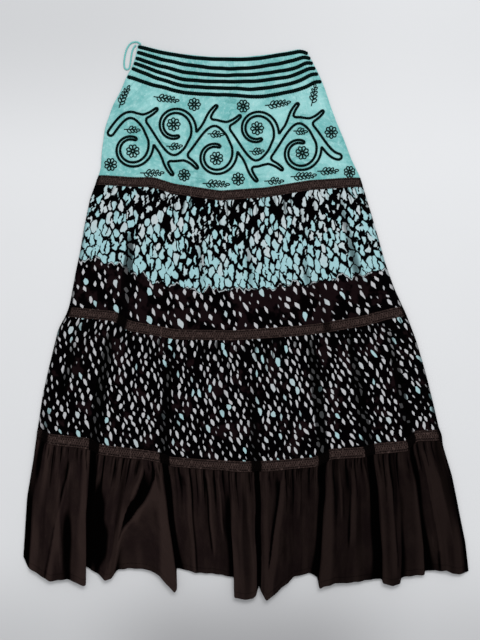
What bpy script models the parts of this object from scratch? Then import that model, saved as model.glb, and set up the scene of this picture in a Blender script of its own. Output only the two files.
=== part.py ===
"""Long tiered cotton skirt, laid flat with its front upwards.

+X runs to the wearer's left across the front, +Y up towards the waist, +Z up off the surface.
The origin is on the surface, below the middle of the skirt. Sizes here are millimetres, and
meshes are made in metres.
"""

import math

import bmesh
import bpy
from mathutils import Vector

MM = 0.001

# Walls and gaps.
CLOTH_THICK = 1.2  # front panels
BACK_THICK = 1.5  # back panels, which lie flat on the surface
GAP = 0.3  # between pieces that touch
BACK_INSET = 2.0  # the back's sides lie this far inside the front's

# Columns across each front panel: two for each gather of the ruffle.
RUFFLE_GATHERS = 46
COLUMNS = 2 * RUFFLE_GATHERS
TIER_2_GATHERS = 36
TIER_1_GATHERS = 30
BACK_COLUMNS = 16

# Crochet braid over each seam, and couched cord on the yoke.
BRAID_HALF = 9.0
BRAID_THICK = 1.6
BRAID_CROWN = 0.4
CORD_HALF = 3.2
CORD_THICK = 2.2
STEM_CORD_HALF = 2.0
STEM_CORD_THICK = 1.8
ON_YOKE_GAP = 0.45  # cords clear the facets of the yoke

# Where the middle of the whole outline lies in the tables below.
MIDDLE_X, MIDDLE_Y = 0.0, -2.5

# Seams across the front, left to right: x, y and the lift of the cloth's underside.
WAIST = (
    # x, y, lift
    (-194.4, 495.9, 1.8),
    (-186.0, 494.0, 2.6),
    (-155.0, 486.0, 2.7),
    (-117.0, 479.0, 2.8),
    (-74.0, 474.4, 2.9),
    (-38.0, 473.0, 3.0),
    (-2.0, 473.4, 3.0),
    (34.0, 477.0, 2.9),
    (70.0, 482.4, 2.7),
    (97.0, 488.0, 2.6),
    (109.8, 482.0, 1.8),
)
SEAM_1 = (
    # x, y, lift
    (-268.0, 252.0, 1.8),
    (-256.0, 252.0, 4.0),
    (-202.0, 248.4, 4.4),
    (-167.0, 248.8, 4.4),
    (-131.0, 237.0, 4.6),
    (-47.0, 224.0, 4.8),
    (36.0, 230.0, 4.8),
    (113.0, 243.0, 4.6),
    (173.0, 247.0, 4.2),
    (196.0, 248.0, 3.8),
    (207.9, 248.0, 1.8),
)
SEAM_2 = (
    # x, y, lift
    (-320.6, 15.0, 1.8),
    (-308.0, 15.0, 5.6),
    (-234.0, 8.0, 6.6),
    (-222.0, -1.0, 3.4),
    (-210.0, -9.5, 5.8),
    (-126.0, -25.0, 6.6),
    (-22.0, -26.6, 7.0),
    (81.0, -19.5, 7.0),
    (130.0, -14.5, 6.0),
    (146.0, -12.5, 4.4),
    (160.0, -9.5, 6.2),
    (209.0, -1.0, 6.0),
    (250.0, 10.0, 6.0),
    (273.0, 15.5, 4.6),
    (285.3, 16.4, 1.8),
)
SEAM_3 = (
    # x, y, lift
    (-375.3, -201.0, 1.8),
    (-359.0, -209.0, 3.4),
    (-351.0, -212.0, 7.6),
    (-283.0, -219.0, 9.0),
    (-273.0, -225.0, 2.8),
    (-262.0, -231.0, 7.6),
    (-208.0, -237.0, 8.6),
    (-157.0, -243.5, 8.6),
    (-146.0, -248.0, 3.0),
    (-136.0, -253.0, 6.6),
    (-74.0, -258.0, 6.6),
    (-36.0, -260.0, 7.4),
    (-2.0, -261.5, 9.0),
    (20.0, -261.0, 4.8),
    (34.0, -260.6, 8.0),
    (80.0, -257.5, 7.8),
    (128.0, -253.5, 7.6),
    (141.0, -246.0, 2.8),
    (153.0, -238.5, 8.2),
    (184.0, -236.8, 8.4),
    (212.0, -235.6, 7.8),
    (223.0, -232.0, 3.2),
    (233.0, -228.6, 8.0),
    (263.0, -226.5, 8.6),
    (291.0, -224.4, 7.6),
    (297.0, -215.0, 4.2),
    (304.0, -206.0, 7.0),
    (333.0, -205.0, 6.4),
    (351.9, -204.3, 1.8),
)

# The ruffle's edge. Each row is a fold line that starts at the given gather below the braid.
HEM = (
    # gather, x, y, lift
    (0.0, -400.0, -424.0, 1.8),
    (0.5, -392.0, -442.0, 3.0),
    (1.0, -388.0, -444.0, 9.0),
    (3.0, -352.0, -467.0, 11.0),
    (4.5, -319.0, -463.0, 9.0),
    (5.5, -291.0, -475.0, 13.0),
    (6.0, -286.0, -474.0, 12.0),
    (6.5, -283.0, -442.0, 2.6),
    (8.5, -268.0, -453.0, 4.0),
    (10.0, -253.0, -465.0, 11.0),
    (11.0, -241.0, -462.0, 10.0),
    (11.5, -230.0, -446.0, 5.0),
    (12.0, -195.0, -444.0, 6.0),
    (12.5, -167.0, -449.0, 8.0),
    (13.0, -148.0, -465.0, 11.0),
    (13.5, -128.0, -488.0, 13.0),
    (14.0, -123.0, -480.0, 12.0),
    (14.5, -120.0, -444.0, 2.6),
    (17.0, -90.0, -452.0, 5.0),
    (19.0, -58.0, -454.0, 5.0),
    (21.5, -26.0, -462.0, 3.0),
    (22.0, -22.0, -496.0, 12.0),
    (23.0, -7.0, -499.0, 13.5),
    (24.0, 12.0, -498.0, 13.0),
    (24.5, 18.0, -492.0, 11.0),
    (25.0, 23.0, -474.0, 3.0),
    (25.5, 29.0, -485.0, 10.0),
    (26.0, 36.0, -501.0, 13.5),
    (27.0, 53.0, -488.0, 12.0),
    (29.0, 86.0, -460.0, 7.0),
    (31.5, 113.0, -454.0, 4.0),
    (32.5, 121.0, -460.0, 3.0),
    (33.0, 133.0, -480.0, 13.0),
    (34.0, 158.0, -470.0, 11.0),
    (36.0, 191.0, -469.0, 10.0),
    (38.0, 240.0, -463.0, 5.0),
    (38.5, 246.0, -471.0, 11.0),
    (39.5, 263.0, -475.0, 12.0),
    (40.5, 276.0, -470.0, 11.0),
    (41.0, 278.0, -460.0, 8.0),
    (41.5, 295.0, -457.0, 8.5),
    (42.0, 320.0, -456.0, 8.0),
    (42.5, 324.0, -449.0, 4.0),
    (44.0, 356.0, -449.0, 9.0),
    (45.5, 383.0, -456.0, 8.0),
    (46.0, 400.0, -449.0, 1.8),
)

# The back's edge lies just inside the front's, below every fold.
BACK_HEM = (
    # x, y
    (-392.0, -416.0),
    (-330.0, -434.0),
    (-200.0, -437.0),
    (0.0, -441.0),
    (200.0, -441.0),
    (340.0, -440.0),
    (392.0, -438.0),
)

# Side outlines from the waist down.
LEFT_SIDE = (
    # y, x
    (495.9, -194.4),
    (476.0, -198.0),
    (453.0, -206.0),
    (438.0, -215.0),
    (417.0, -223.0),
    (386.0, -239.5),
    (347.0, -253.0),
    (305.0, -258.8),
    (272.0, -261.0),
    (252.0, -268.0),
    (219.0, -280.0),
    (172.0, -290.0),
    (125.0, -297.7),
    (89.0, -305.5),
    (35.0, -315.4),
    (15.0, -320.6),
    (-8.0, -333.0),
    (-15.0, -337.0),
    (-82.0, -353.5),
    (-134.0, -365.2),
    (-201.0, -375.3),
    (-251.0, -382.0),
    (-317.0, -393.3),
    (-424.0, -400.0),
)
RIGHT_SIDE = (
    # y, x
    (482.0, 109.8),
    (464.0, 120.0),
    (445.0, 129.6),
    (423.0, 139.3),
    (382.0, 153.0),
    (351.0, 164.7),
    (324.0, 176.4),
    (292.0, 188.1),
    (256.0, 205.7),
    (248.0, 207.9),
    (235.0, 211.7),
    (192.0, 225.0),
    (137.0, 240.8),
    (102.0, 250.6),
    (58.0, 266.2),
    (16.4, 285.3),
    (8.0, 289.0),
    (-35.0, 305.5),
    (-91.0, 322.0),
    (-147.0, 336.1),
    (-195.0, 347.0),
    (-204.3, 351.9),
    (-224.0, 353.5),
    (-278.0, 369.9),
    (-345.0, 383.4),
    (-399.0, 394.2),
    (-449.0, 400.0),
)

# Each panel: its rows of fold knots, and its outer rows from the top seam down.
PANELS = {
    "yoke": {
        "height": 247.0,
        "knots": (0.0, 0.12, 0.24, 0.4, 0.6, 0.8, 1.0),
        "rows_mm": (),
        "gathers": 0,
        "crest": 0.0,
    },
    "tier_1": {
        "height": 252.0,
        "knots": (0.0, 0.3, 0.62, 1.0),
        "rows_mm": (9.0, 14.0, 30.0, 50.0),
        "gathers": TIER_1_GATHERS,
        "crest": 1.3,
    },
    "tier_2": {
        "height": 230.0,
        "knots": (0.0, 0.14, 0.55, 1.0),
        "rows_mm": (9.0, 14.0, 50.0, 80.0),
        "gathers": TIER_2_GATHERS,
        "crest": 1.5,
    },
    "ruffle": {
        "height": 212.0,
        "knots": (0.0, 0.3, 0.65, 1.0),
        "rows_mm": (9.0, 14.0, 28.0, 44.0, 92.0),
        "gathers": RUFFLE_GATHERS,
        "crest": 1.8,
    },
}

# Long folds that start or end between two seams.
SOFT_FOLDS = (
    # panel, where across, half width, depth at each knot of the panel
    ("tier_1", 0.160, 0.020, (0.0, 0.0, 2.6, 0.0)),
    ("tier_1", 0.745, 0.018, (0.0, 0.0, 1.8, 0.0)),
    ("tier_1", 0.905, 0.026, (0.0, 2.0, 2.2, 0.0)),
    ("tier_1", 0.400, 0.030, (0.0, 1.0, 1.4, 0.0)),
    ("tier_1", 0.560, 0.024, (0.0, 0.8, 1.2, 0.0)),
    ("tier_2", 0.048, 0.020, (0.0, 1.4, 2.4, 0.0)),
    ("tier_2", 0.145, 0.022, (0.0, 1.6, 3.4, 0.0)),
    ("tier_2", 0.315, 0.018, (0.0, 0.0, 2.8, 0.0)),
    ("tier_2", 0.460, 0.030, (0.0, 1.2, 1.4, 0.0)),
    ("tier_2", 0.715, 0.022, (0.0, 1.4, 3.6, 0.0)),
    ("tier_2", 0.820, 0.020, (0.0, 1.0, 3.2, 0.0)),
    ("tier_2", 0.930, 0.020, (0.0, 0.8, 1.8, 0.0)),
)

# The six waist cords: how far down the yoke each lies at six places across.
CORD_PLACES = (0.0, 0.26, 0.50, 0.69, 0.87, 1.0)
WAIST_CORDS = (
    (0.016, 0.018, 0.017, 0.020, 0.017, 0.016),
    (0.056, 0.076, 0.085, 0.082, 0.076, 0.052),
    (0.098, 0.135, 0.132, 0.133, 0.134, 0.088),
    (0.135, 0.190, 0.177, 0.185, 0.182, 0.126),
    (0.174, 0.238, 0.222, 0.246, 0.234, 0.168),
    (0.236, 0.286, 0.270, 0.306, 0.292, 0.226),
)

# One long vine waves across the yoke, with shoots on both sides. The scroll is a single outline
# in couched cord.
VINE_ENDS = (-243.0, 168.0)
VINE_CREST_X = -206.0
VINE_WAVE = 150.0
VINE_SWING = 36.0
VINE_HALF = 5.5
VINE_STEPS = 60
VINE_LEVEL = (
    # x, y of the middle of the wave
    (-243.0, 336.0),
    (-137.0, 328.0),
    (-62.0, 319.0),
    (13.0, 317.0),
    (88.0, 323.0),
    (168.0, 330.0),
)
HALF_WAVES = 5
SHOOT_STEP = 8.0  # between points along a shoot
FORK_REACH = 24.0  # a shoot has parted from the vine within this length
FORK_GAP = 3.6  # the outline turns this far off both edges in a fork

# The shoots of each half wave. After is how far past its crest a shoot leaves the vine, lean its
# angle to the vine there, and bend its turn from root to tip in degrees.
CURL = {
    "after": 30.0, "lean": 12.0, "length": 166.0, "bend": 318.0, "tightens": 1.45, "root": 4.8, "tip": 2.6,
}
EARLY_LEAF = {
    "after": -16.0, "lean": 44.0, "length": 42.0, "bend": -42.0, "tightens": 1.0, "root": 4.6, "tip": 2.5,
}
LATE_LEAF = {
    "after": 12.0, "lean": 44.0, "length": 38.0, "bend": 40.0, "tightens": 1.0, "root": 4.6, "tip": 2.5,
}

# The narrow loop that the skirt is hung up by, beside the top left corner.
LOOP_THICK = 2.8
LOOP_ROUTE = (
    # x, y
    (-188.8, 496.4),
    (-193.8, 500.2),
    (-199.5, 501.0),
    (-206.5, 499.0),
    (-212.0, 493.0),
    (-215.6, 485.0),
    (-217.8, 476.0),
    (-219.0, 467.0),
    (-219.2, 459.0),
    (-217.8, 453.8),
    (-214.0, 451.6),
    (-210.2, 453.8),
    (-208.6, 459.0),
    (-207.4, 467.0),
    (-206.2, 476.0),
    (-204.4, 485.0),
    (-201.4, 491.6),
    (-197.6, 495.6),
)
LOOP_STEPS = 3

COLOURS = {
    # red, green, blue, roughness
    "turquoise_cotton": (0.13, 0.60, 0.57, 0.85),
    "green_black_cord": (0.006, 0.022, 0.018, 0.8),
    "brown_braid": (0.060, 0.038, 0.030, 0.9),
    "aqua_print": (0.16, 0.30, 0.32, 0.85),
    "spotted_print": (0.05, 0.05, 0.055, 0.85),
    "dark_brown_cotton": (0.016, 0.009, 0.007, 0.9),
}


def between(a, b, share):
    return a + (b - a) * share


def read_table(table, key, value, at):
    """Straight-line reading of one column of a table whose key column rises or falls."""
    rows = table if table[0][key] < table[-1][key] else table[::-1]
    if at <= rows[0][key]:
        return rows[0][value]
    for low, high in zip(rows, rows[1:]):
        if at <= high[key]:
            share = (at - low[key]) / (high[key] - low[key])
            return between(low[value], high[value], share)
    return rows[-1][value]


def uneven(number, low, high):
    """A value between low and high that differs from one gather to the next."""
    wave = math.sin(number * 12.9898 + 4.137) * 43758.5453
    return low + (high - low) * (wave - math.floor(wave))


def seam_points(table, nodes):
    """Points of a seam at each front column, straight between the given number of nodes."""
    first, last = table[0][0], table[-1][0]
    points = []
    for column in range(COLUMNS + 1):
        place = column * nodes / COLUMNS
        low = min(int(place), nodes - 1)
        ends = []
        for node in (low, low + 1):
            x = between(first, last, node / nodes)
            ends.append(Vector((x, read_table(table, 0, 1, x), read_table(table, 0, 2, x))))
        points.append(ends[0].lerp(ends[1], place - low))
    return points


def hem_points():
    points = []
    for column in range(COLUMNS + 1):
        gather = column / 2
        points.append(Vector([read_table(HEM, 0, value, gather) for value in (1, 2, 3)]))
    return points


SEAMS = {
    "waist": seam_points(WAIST, RUFFLE_GATHERS),
    "seam_1": seam_points(SEAM_1, RUFFLE_GATHERS),
    "seam_2": seam_points(SEAM_2, RUFFLE_GATHERS),
    "seam_3": seam_points(SEAM_3, COLUMNS),
    "hem": hem_points(),
}
PANEL_SEAMS = {
    "yoke": ("waist", "seam_1"),
    "tier_1": ("seam_1", "seam_2"),
    "tier_2": ("seam_2", "seam_3"),
    "ruffle": ("seam_3", "hem"),
}


def side_shift(top, bottom, share, side):
    """How far the outline stands out from the straight line between two seam ends."""
    straight = top.lerp(bottom, share)
    return read_table(side, 0, 1, straight.y) - straight.x


def knot_row(panel, knot):
    """The underside of a front panel along one row of knots."""
    share = PANELS[panel]["knots"][knot]
    top, bottom = (SEAMS[name] for name in PANEL_SEAMS[panel])
    left = side_shift(top[0], bottom[0], share, LEFT_SIDE)
    right = side_shift(top[-1], bottom[-1], share, RIGHT_SIDE)
    row = []
    for column in range(COLUMNS + 1):
        across = column / COLUMNS
        point = top[column].lerp(bottom[column], share)
        point.x += (1 - across) * left + across * right
        for where, middle, half, depths in SOFT_FOLDS:
            if where == panel and abs(across - middle) < half:
                bend = 0.5 + 0.5 * math.cos(math.pi * (across - middle) / half)
                point.z -= depths[knot] * bend
        lowest = BACK_THICK + GAP + (0.4 if 0 < column < COLUMNS else 0.0)
        point.z = max(point.z, lowest)
        row.append(point)
    return row


def seam_normal(row, column):
    """Upright direction square to a seam, the same for both panels that meet there."""
    along = row[min(column + 1, COLUMNS)] - row[max(column - 1, 0)]
    along.normalize()
    return (Vector((0, 0, 1)) - along * along.z).normalized()


def knot_normals(rows, panel):
    normals = []
    for knot, row in enumerate(rows):
        line = []
        for column in range(COLUMNS + 1):
            at_seam = knot == 0 or (knot == len(rows) - 1 and panel != "ruffle")
            if at_seam:
                line.append(seam_normal(row, column))
                continue
            along = row[min(column + 1, COLUMNS)] - row[max(column - 1, 0)]
            above = rows[knot - 1][column]
            below = rows[min(knot + 1, len(rows) - 1)][column]
            line.append(along.cross(above - below).normalized())
        normals.append(line)
    return normals


FRONT_ROWS = {
    panel: [knot_row(panel, knot) for knot in range(len(PANELS[panel]["knots"]))]
    for panel in PANELS
}
FRONT_NORMALS = {panel: knot_normals(FRONT_ROWS[panel], panel) for panel in PANELS}


def under_point(panel, column, share):
    """A point of a front panel's underside and the way outwards there."""
    knots = PANELS[panel]["knots"]
    high = next(k for k in range(1, len(knots)) if share <= knots[k] + 1e-9)
    part = (share - knots[high - 1]) / (knots[high] - knots[high - 1])
    rows, normals = FRONT_ROWS[panel], FRONT_NORMALS[panel]
    point = rows[high - 1][column].lerp(rows[high][column], part)
    normal = normals[high - 1][column].lerp(normals[high][column], part).normalized()
    return point, normal


def gather_crest(panel, column, down):
    """How far a gather stands proud, this many millimetres below its seam."""
    facts = PANELS[panel]
    if not facts["gathers"]:
        return 0.0
    valleys = {round(k * COLUMNS / facts["gathers"]) for k in range(facts["gathers"] + 1)}
    if column in valleys:
        return 0.0
    length = uneven(column, 55.0, 120.0)
    rise = min(max((down - BRAID_HALF) / 5.0, 0.0), 1.0)
    fall = min(max(1.0 - (down - 14.0) / length, 0.0), 1.0)
    return facts["crest"] * uneven(column + 0.5, 0.6, 1.0) * rise * fall


def outer_point(panel, column, share, proud=0.0):
    """A point on or above the outer face of a front panel."""
    point, normal = under_point(panel, column, share)
    crest = gather_crest(panel, column, share * PANELS[panel]["height"])
    return point + normal * (CLOTH_THICK + crest + proud)


def apart(row, way):
    """A seam edge drawn back by half the gap."""
    return [point + Vector((0, way * GAP / 2, 0)) for point in row]


def material_for(name):
    red, green, blue, rough = COLOURS[name]
    made = bpy.data.materials.get(name)
    if made is None:
        made = bpy.data.materials.new(name)
        made.use_nodes = True
        shader = made.node_tree.nodes["Principled BSDF"]
        shader.inputs["Base Color"].default_value = (red, green, blue, 1.0)
        shader.inputs["Roughness"].default_value = rough
        shader.inputs["Metallic"].default_value = 0.0
        made.diffuse_color = (red, green, blue, 1.0)
    return made


def add_mesh(name, made, material):
    """Place the mesh about the skirt's middle, in metres, as one named object."""
    for vertex in made.verts:
        vertex.co = (vertex.co - Vector((MIDDLE_X, MIDDLE_Y, 0))) * MM
    bmesh.ops.recalc_face_normals(made, faces=made.faces)
    mesh = bpy.data.meshes.new(name)
    made.to_mesh(mesh)
    made.free()
    mesh.shade_smooth()
    mesh.set_sharp_from_angle(angle=math.radians(35))
    mesh.materials.append(material_for(material))
    item = bpy.data.objects.new(name, mesh)
    bpy.context.scene.collection.objects.link(item)
    return item


def add_quad(made, a, b, c, d):
    """Two triangles, split the same way on every grid, so that stacked pieces stay parallel."""
    made.faces.new((a, b, c))
    made.faces.new((a, c, d))


def add_wall(name, under, outer, material, meets):
    """A closed wall between two grids with the same columns. Meets gives, for each row of the
    underside, the outer row above it."""
    made = bmesh.new()
    low = [[made.verts.new(point) for point in row] for row in under]
    high = [[made.verts.new(point) for point in row] for row in outer]
    last = len(under[0]) - 1
    for grid in (low, high):
        for row, below in zip(grid, grid[1:]):
            for column in range(last):
                add_quad(made, row[column], row[column + 1], below[column + 1], below[column])
    for row in (0, -1):
        for column in range(last):
            edge = (low[row][column], low[row][column + 1])
            add_quad(made, *edge, high[row][column + 1], high[row][column])
    for column in (0, last):
        for row, (first, final) in enumerate(zip(meets, meets[1:])):
            side = [line[column] for line in high[first:final + 1]]
            made.faces.new(side + [low[row + 1][column], low[row][column]])
    return add_mesh(name, made, material)


def add_front(panel, material, step=1):
    """One front panel: a wall that follows the folds, with its gathers raised outside."""
    facts = PANELS[panel]
    columns = range(0, COLUMNS + 1, step)
    shares = set(facts["knots"]) | {down / facts["height"] for down in facts["rows_mm"]}
    if panel in ("yoke", "tier_1", "tier_2"):
        shares.add(1 - BRAID_HALF / facts["height"])
    under = [[row[column].copy() for column in columns] for row in FRONT_ROWS[panel]]
    shares = sorted(shares)
    outer = [[outer_point(panel, column, share) for column in columns] for share in shares]
    meets = [shares.index(knot) for knot in facts["knots"]]
    under[0], outer[0] = apart(under[0], -1), apart(outer[0], -1)
    under[-1], outer[-1] = apart(under[-1], 1), apart(outer[-1], 1)
    return add_wall(panel + "_front", under, outer, material, meets)


def add_braid(name, above, below):
    """The crochet braid that covers a seam, lying on both panels."""
    up = 1 - BRAID_HALF / PANELS[above]["height"]
    down = BRAID_HALF / PANELS[below]["height"]
    columns = range(COLUMNS + 1)
    places = ((above, up, 0.0), (above, 1.0, BRAID_CROWN), (below, down, 0.0))
    under = [[outer_point(panel, c, share, GAP) for c in columns] for panel, share, _ in places]
    outer = [
        [outer_point(panel, c, share, GAP + BRAID_THICK + crown) for c in columns]
        for panel, share, crown in places
    ]
    return add_wall(name, under, outer, "brown_braid", (0, 1, 2))


def add_waist_cord(number, places):
    """A low rounded cord sewn across the yoke."""
    columns = [0, 2] + list(range(6, COLUMNS - 4, 4)) + [COLUMNS - 2, COLUMNS]
    half = CORD_HALF / PANELS["yoke"]["height"]
    table = tuple(zip(CORD_PLACES, places))

    def row(shift, proud):
        line = []
        for column in columns:
            share = read_table(table, 0, 1, column / COLUMNS) + shift * half
            line.append(outer_point("yoke", column, share, proud))
        return line

    under = [row(-1.0, ON_YOKE_GAP), row(1.0, ON_YOKE_GAP)]
    shoulder = ON_YOKE_GAP + 0.6 * CORD_THICK
    outer = [row(-0.85, shoulder), row(0.0, ON_YOKE_GAP + CORD_THICK), row(0.85, shoulder)]
    return add_wall(f"waist_cord_{number}", under, outer, "green_black_cord", (0, 2))


def yoke_height(x, y):
    """The height of the yoke's outer face below a point of the plan."""
    across, share = 0.5, 0.5
    for _ in range(24):
        column = min(max(across, 0.0), 1.0) * COLUMNS
        low = min(int(column), COLUMNS - 1)
        share = min(max(share, 0.0), 1.0)
        ends = [outer_point("yoke", c, share) for c in (low, low + 1)]
        point = ends[0].lerp(ends[1], column - low)
        width = outer_point("yoke", COLUMNS, share).x - outer_point("yoke", 0, share).x
        across += (x - point.x) / width
        share += (point.y - y) / PANELS["yoke"]["height"]
    return point.z


def vine_point(x):
    """A point on the middle of the waving vine."""
    wave = math.cos(math.tau * (x - VINE_CREST_X) / VINE_WAVE)
    return Vector((x, read_table(VINE_LEVEL, 0, 1, x) + VINE_SWING * wave, 0))


def shoot_middle(facts, crest_x, side):
    """Points along the middle of a shoot, from the middle of the vine to its tip."""
    x = crest_x + facts["after"]
    point = vine_point(x)
    ahead = vine_point(x + 0.5) - vine_point(x - 0.5)
    heading = math.atan2(ahead.y, ahead.x) + side * math.radians(facts["lean"])
    steps = max(6, round(facts["length"] / SHOOT_STEP))
    points = [point]
    for step in range(steps):
        share = ((step + 0.5) / steps) ** facts["tightens"]
        turn = heading + side * math.radians(facts["bend"]) * share
        point = point + Vector((math.cos(turn), math.sin(turn), 0)) * (facts["length"] / steps)
        points.append(point)
    return points


def stem_sides(middle, root_half, tip_half):
    """The left and right edge of a stem, and the point past its tip."""
    last = len(middle) - 1
    left, right = [], []
    for index, point in enumerate(middle):
        along = middle[min(index + 1, last)] - middle[max(index - 1, 0)]
        out = Vector((-along.y, along.x, 0)).normalized() * between(root_half, tip_half, index / last)
        left.append(point + out)
        right.append(point - out)
    tip = middle[-1] + (middle[-1] - middle[-2]).normalized() * 0.9 * tip_half
    return left, right, tip


def shoot_edge(facts, middle, side, vine):
    """The outline of one shoot, from where it leaves the vine round its tip and back."""
    left, right, tip = stem_sides(middle, facts["root"], facts["tip"])
    back, front = (left, right) if side > 0 else (right, left)
    reach = FORK_REACH / facts["length"] * (len(middle) - 1)

    def is_clear(index, point):
        return index > reach or min((point - spot).length for spot in vine) > VINE_HALF + FORK_GAP

    out = [point for index, point in enumerate(back) if is_clear(index, point)]
    home = [point for index, point in enumerate(front) if is_clear(index, point)]
    return out + [tip] + home[::-1]


def shoots_on(side):
    """The shoots on one side of the vine, with their middles, in order along it."""
    found = []
    for number in range(HALF_WAVES):
        x = VINE_CREST_X + number * VINE_WAVE / 2
        inner = 1 if number % 2 else -1
        kinds = (CURL,) if side == inner else (EARLY_LEAF, LATE_LEAF) if number else (LATE_LEAF,)
        found += [(facts, shoot_middle(facts, x, side)) for facts in kinds]
    return found


def edge_with_shoots(edge, side, vine):
    """One edge of the vine, which runs round each shoot that leaves it."""
    shoots = shoots_on(side)
    route, placed = [], set()
    for point in edge:
        beside = None
        for number, (facts, middle) in enumerate(shoots):
            root = middle[:round(FORK_REACH / facts["length"] * (len(middle) - 1)) + 2]
            if min((point - spot).length for spot in root) < facts["root"] + FORK_GAP:
                beside = number
        if beside is None:
            route.append(point)
        elif beside not in placed:
            placed.add(beside)
            route += shoot_edge(*shoots[beside], side, vine)
    return route


def add_couched_cord(name, path):
    """A ridge of couched cord that follows a closed path on the yoke."""
    made = bmesh.new()
    rings = []
    for index, point in enumerate(path):
        along = path[(index + 1) % len(path)] - path[index - 1]
        side = along.cross(Vector((0, 0, 1))).normalized() * STEM_CORD_HALF
        base = yoke_height(point.x, point.y) + ON_YOKE_GAP
        ring = []
        for shift, lift in ((-1, 0.0), (0, STEM_CORD_THICK), (1, 0.0)):
            spot = point + side * shift
            ring.append(made.verts.new((spot.x, spot.y, base + lift)))
        rings.append(ring)
    for ring, following in zip(rings, rings[1:] + rings[:1]):
        for corner in range(3):
            beside = (corner + 1) % 3
            made.faces.new((ring[corner], ring[beside], following[beside], following[corner]))
    return add_mesh(name, made, "green_black_cord")


def add_scroll():
    """The vine and its shoots as one closed outline."""
    vine = [vine_point(between(*VINE_ENDS, step / VINE_STEPS)) for step in range(VINE_STEPS + 1)]
    left, right, tip = stem_sides(vine, VINE_HALF, VINE_HALF)
    root = vine[0] + (vine[0] - vine[1]).normalized() * 0.9 * VINE_HALF
    there = edge_with_shoots(left, 1, vine)
    back = edge_with_shoots(right, -1, vine)
    add_couched_cord("yoke_vine", there + [tip] + back[::-1] + [root])


def back_line(table, shift):
    """One edge of a back panel, moved down or up the skirt by shift."""
    first, last = table[0][0] + BACK_INSET, table[-1][0] - BACK_INSET
    points = []
    for column in range(BACK_COLUMNS + 1):
        x = between(first, last, column / BACK_COLUMNS)
        points.append((x, read_table(table, 0, 1, x) + shift))
    return points


def back_side(side, top, bottom, inset):
    """The side points that lie between two edges."""
    return [(x + inset, y) for y, x in side if bottom + 3 < y < top - 3]


def add_back(name, top, bottom, material):
    """A flat slab of cloth on the surface, between two edges."""
    left = back_side(LEFT_SIDE, top[0][1], bottom[0][1], BACK_INSET)
    right = back_side(RIGHT_SIDE, top[-1][1], bottom[-1][1], -BACK_INSET)
    outline = top + right + bottom[::-1] + left[::-1]
    made = bmesh.new()
    face = made.faces.new([made.verts.new((x, y, 0)) for x, y in outline])
    raised = bmesh.ops.extrude_face_region(made, geom=[face])["geom"]
    points = [item for item in raised if isinstance(item, bmesh.types.BMVert)]
    bmesh.ops.translate(made, verts=points, vec=(0, 0, BACK_THICK))
    return add_mesh(name, made, material)


def add_backs():
    """Back panels and the braid let in between them, so that the underside is one plane."""
    seams = (("seam_1", SEAM_1), ("seam_2", SEAM_2), ("seam_3", SEAM_3))
    top = back_line(WAIST, -1.0)
    cloths = ("turquoise_cotton", "aqua_print", "spotted_print", "dark_brown_cotton")
    for number, (panel, cloth) in enumerate(zip(PANELS, cloths)):
        if number < len(seams):
            bottom = back_line(seams[number][1], BRAID_HALF)
        else:
            bottom = back_line(BACK_HEM, 0.0)
        add_back(panel + "_back", top, bottom, cloth)
        if number < len(seams):
            upper = back_line(seams[number][1], BRAID_HALF - GAP)
            lower = back_line(seams[number][1], GAP - BRAID_HALF)
            add_back(f"braid_{number + 1}_back", upper, lower, "brown_braid")
            top = back_line(seams[number][1], -BRAID_HALF)


def smooth_route(points, steps):
    """A smooth curve through hand-chosen points."""
    route = []
    ends = [points[0]] + list(points) + [points[-1]]
    for index in range(1, len(ends) - 2):
        a, b, c, d = (Vector(ends[index + k]) for k in (-1, 0, 1, 2))
        for step in range(steps):
            t = step / steps
            route.append(0.5 * ((2 * b) + (c - a) * t + (2 * a - 5 * b + 4 * c - d) * t * t
                                + (3 * b - a - 3 * c + d) * t * t * t))
    route.append(Vector(points[-1]))
    return route


def add_hanger_loop():
    curve = bpy.data.curves.new("hanger_loop", "CURVE")
    curve.dimensions = "3D"
    curve.bevel_depth = LOOP_THICK / 2 * MM
    curve.bevel_resolution = 2
    curve.use_fill_caps = True
    curve.resolution_u = 1
    curve.render_resolution_u = 0
    route = smooth_route(LOOP_ROUTE, LOOP_STEPS)
    line = curve.splines.new("POLY")
    line.points.add(len(route) - 1)
    height = LOOP_THICK / 2 + 0.1
    for point, place in zip(line.points, route):
        point.co = ((place.x - MIDDLE_X) * MM, (place.y - MIDDLE_Y) * MM, height * MM, 1)
    curve.materials.append(material_for("turquoise_cotton"))
    item = bpy.data.objects.new("hanger_loop", curve)
    bpy.context.scene.collection.objects.link(item)


def build():
    for item in list(bpy.data.objects):
        bpy.data.objects.remove(item)
    add_backs()
    add_front("yoke", "turquoise_cotton", step=2)
    add_front("tier_1", "aqua_print")
    add_front("tier_2", "spotted_print")
    add_front("ruffle", "dark_brown_cotton")
    add_braid("braid_1_front", "yoke", "tier_1")
    add_braid("braid_2_front", "tier_1", "tier_2")
    add_braid("braid_3_front", "tier_2", "ruffle")
    for number, places in enumerate(WAIST_CORDS, 1):
        add_waist_cord(number, places)
    add_scroll()
    add_hanger_loop()


build()
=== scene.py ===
import math

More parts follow.
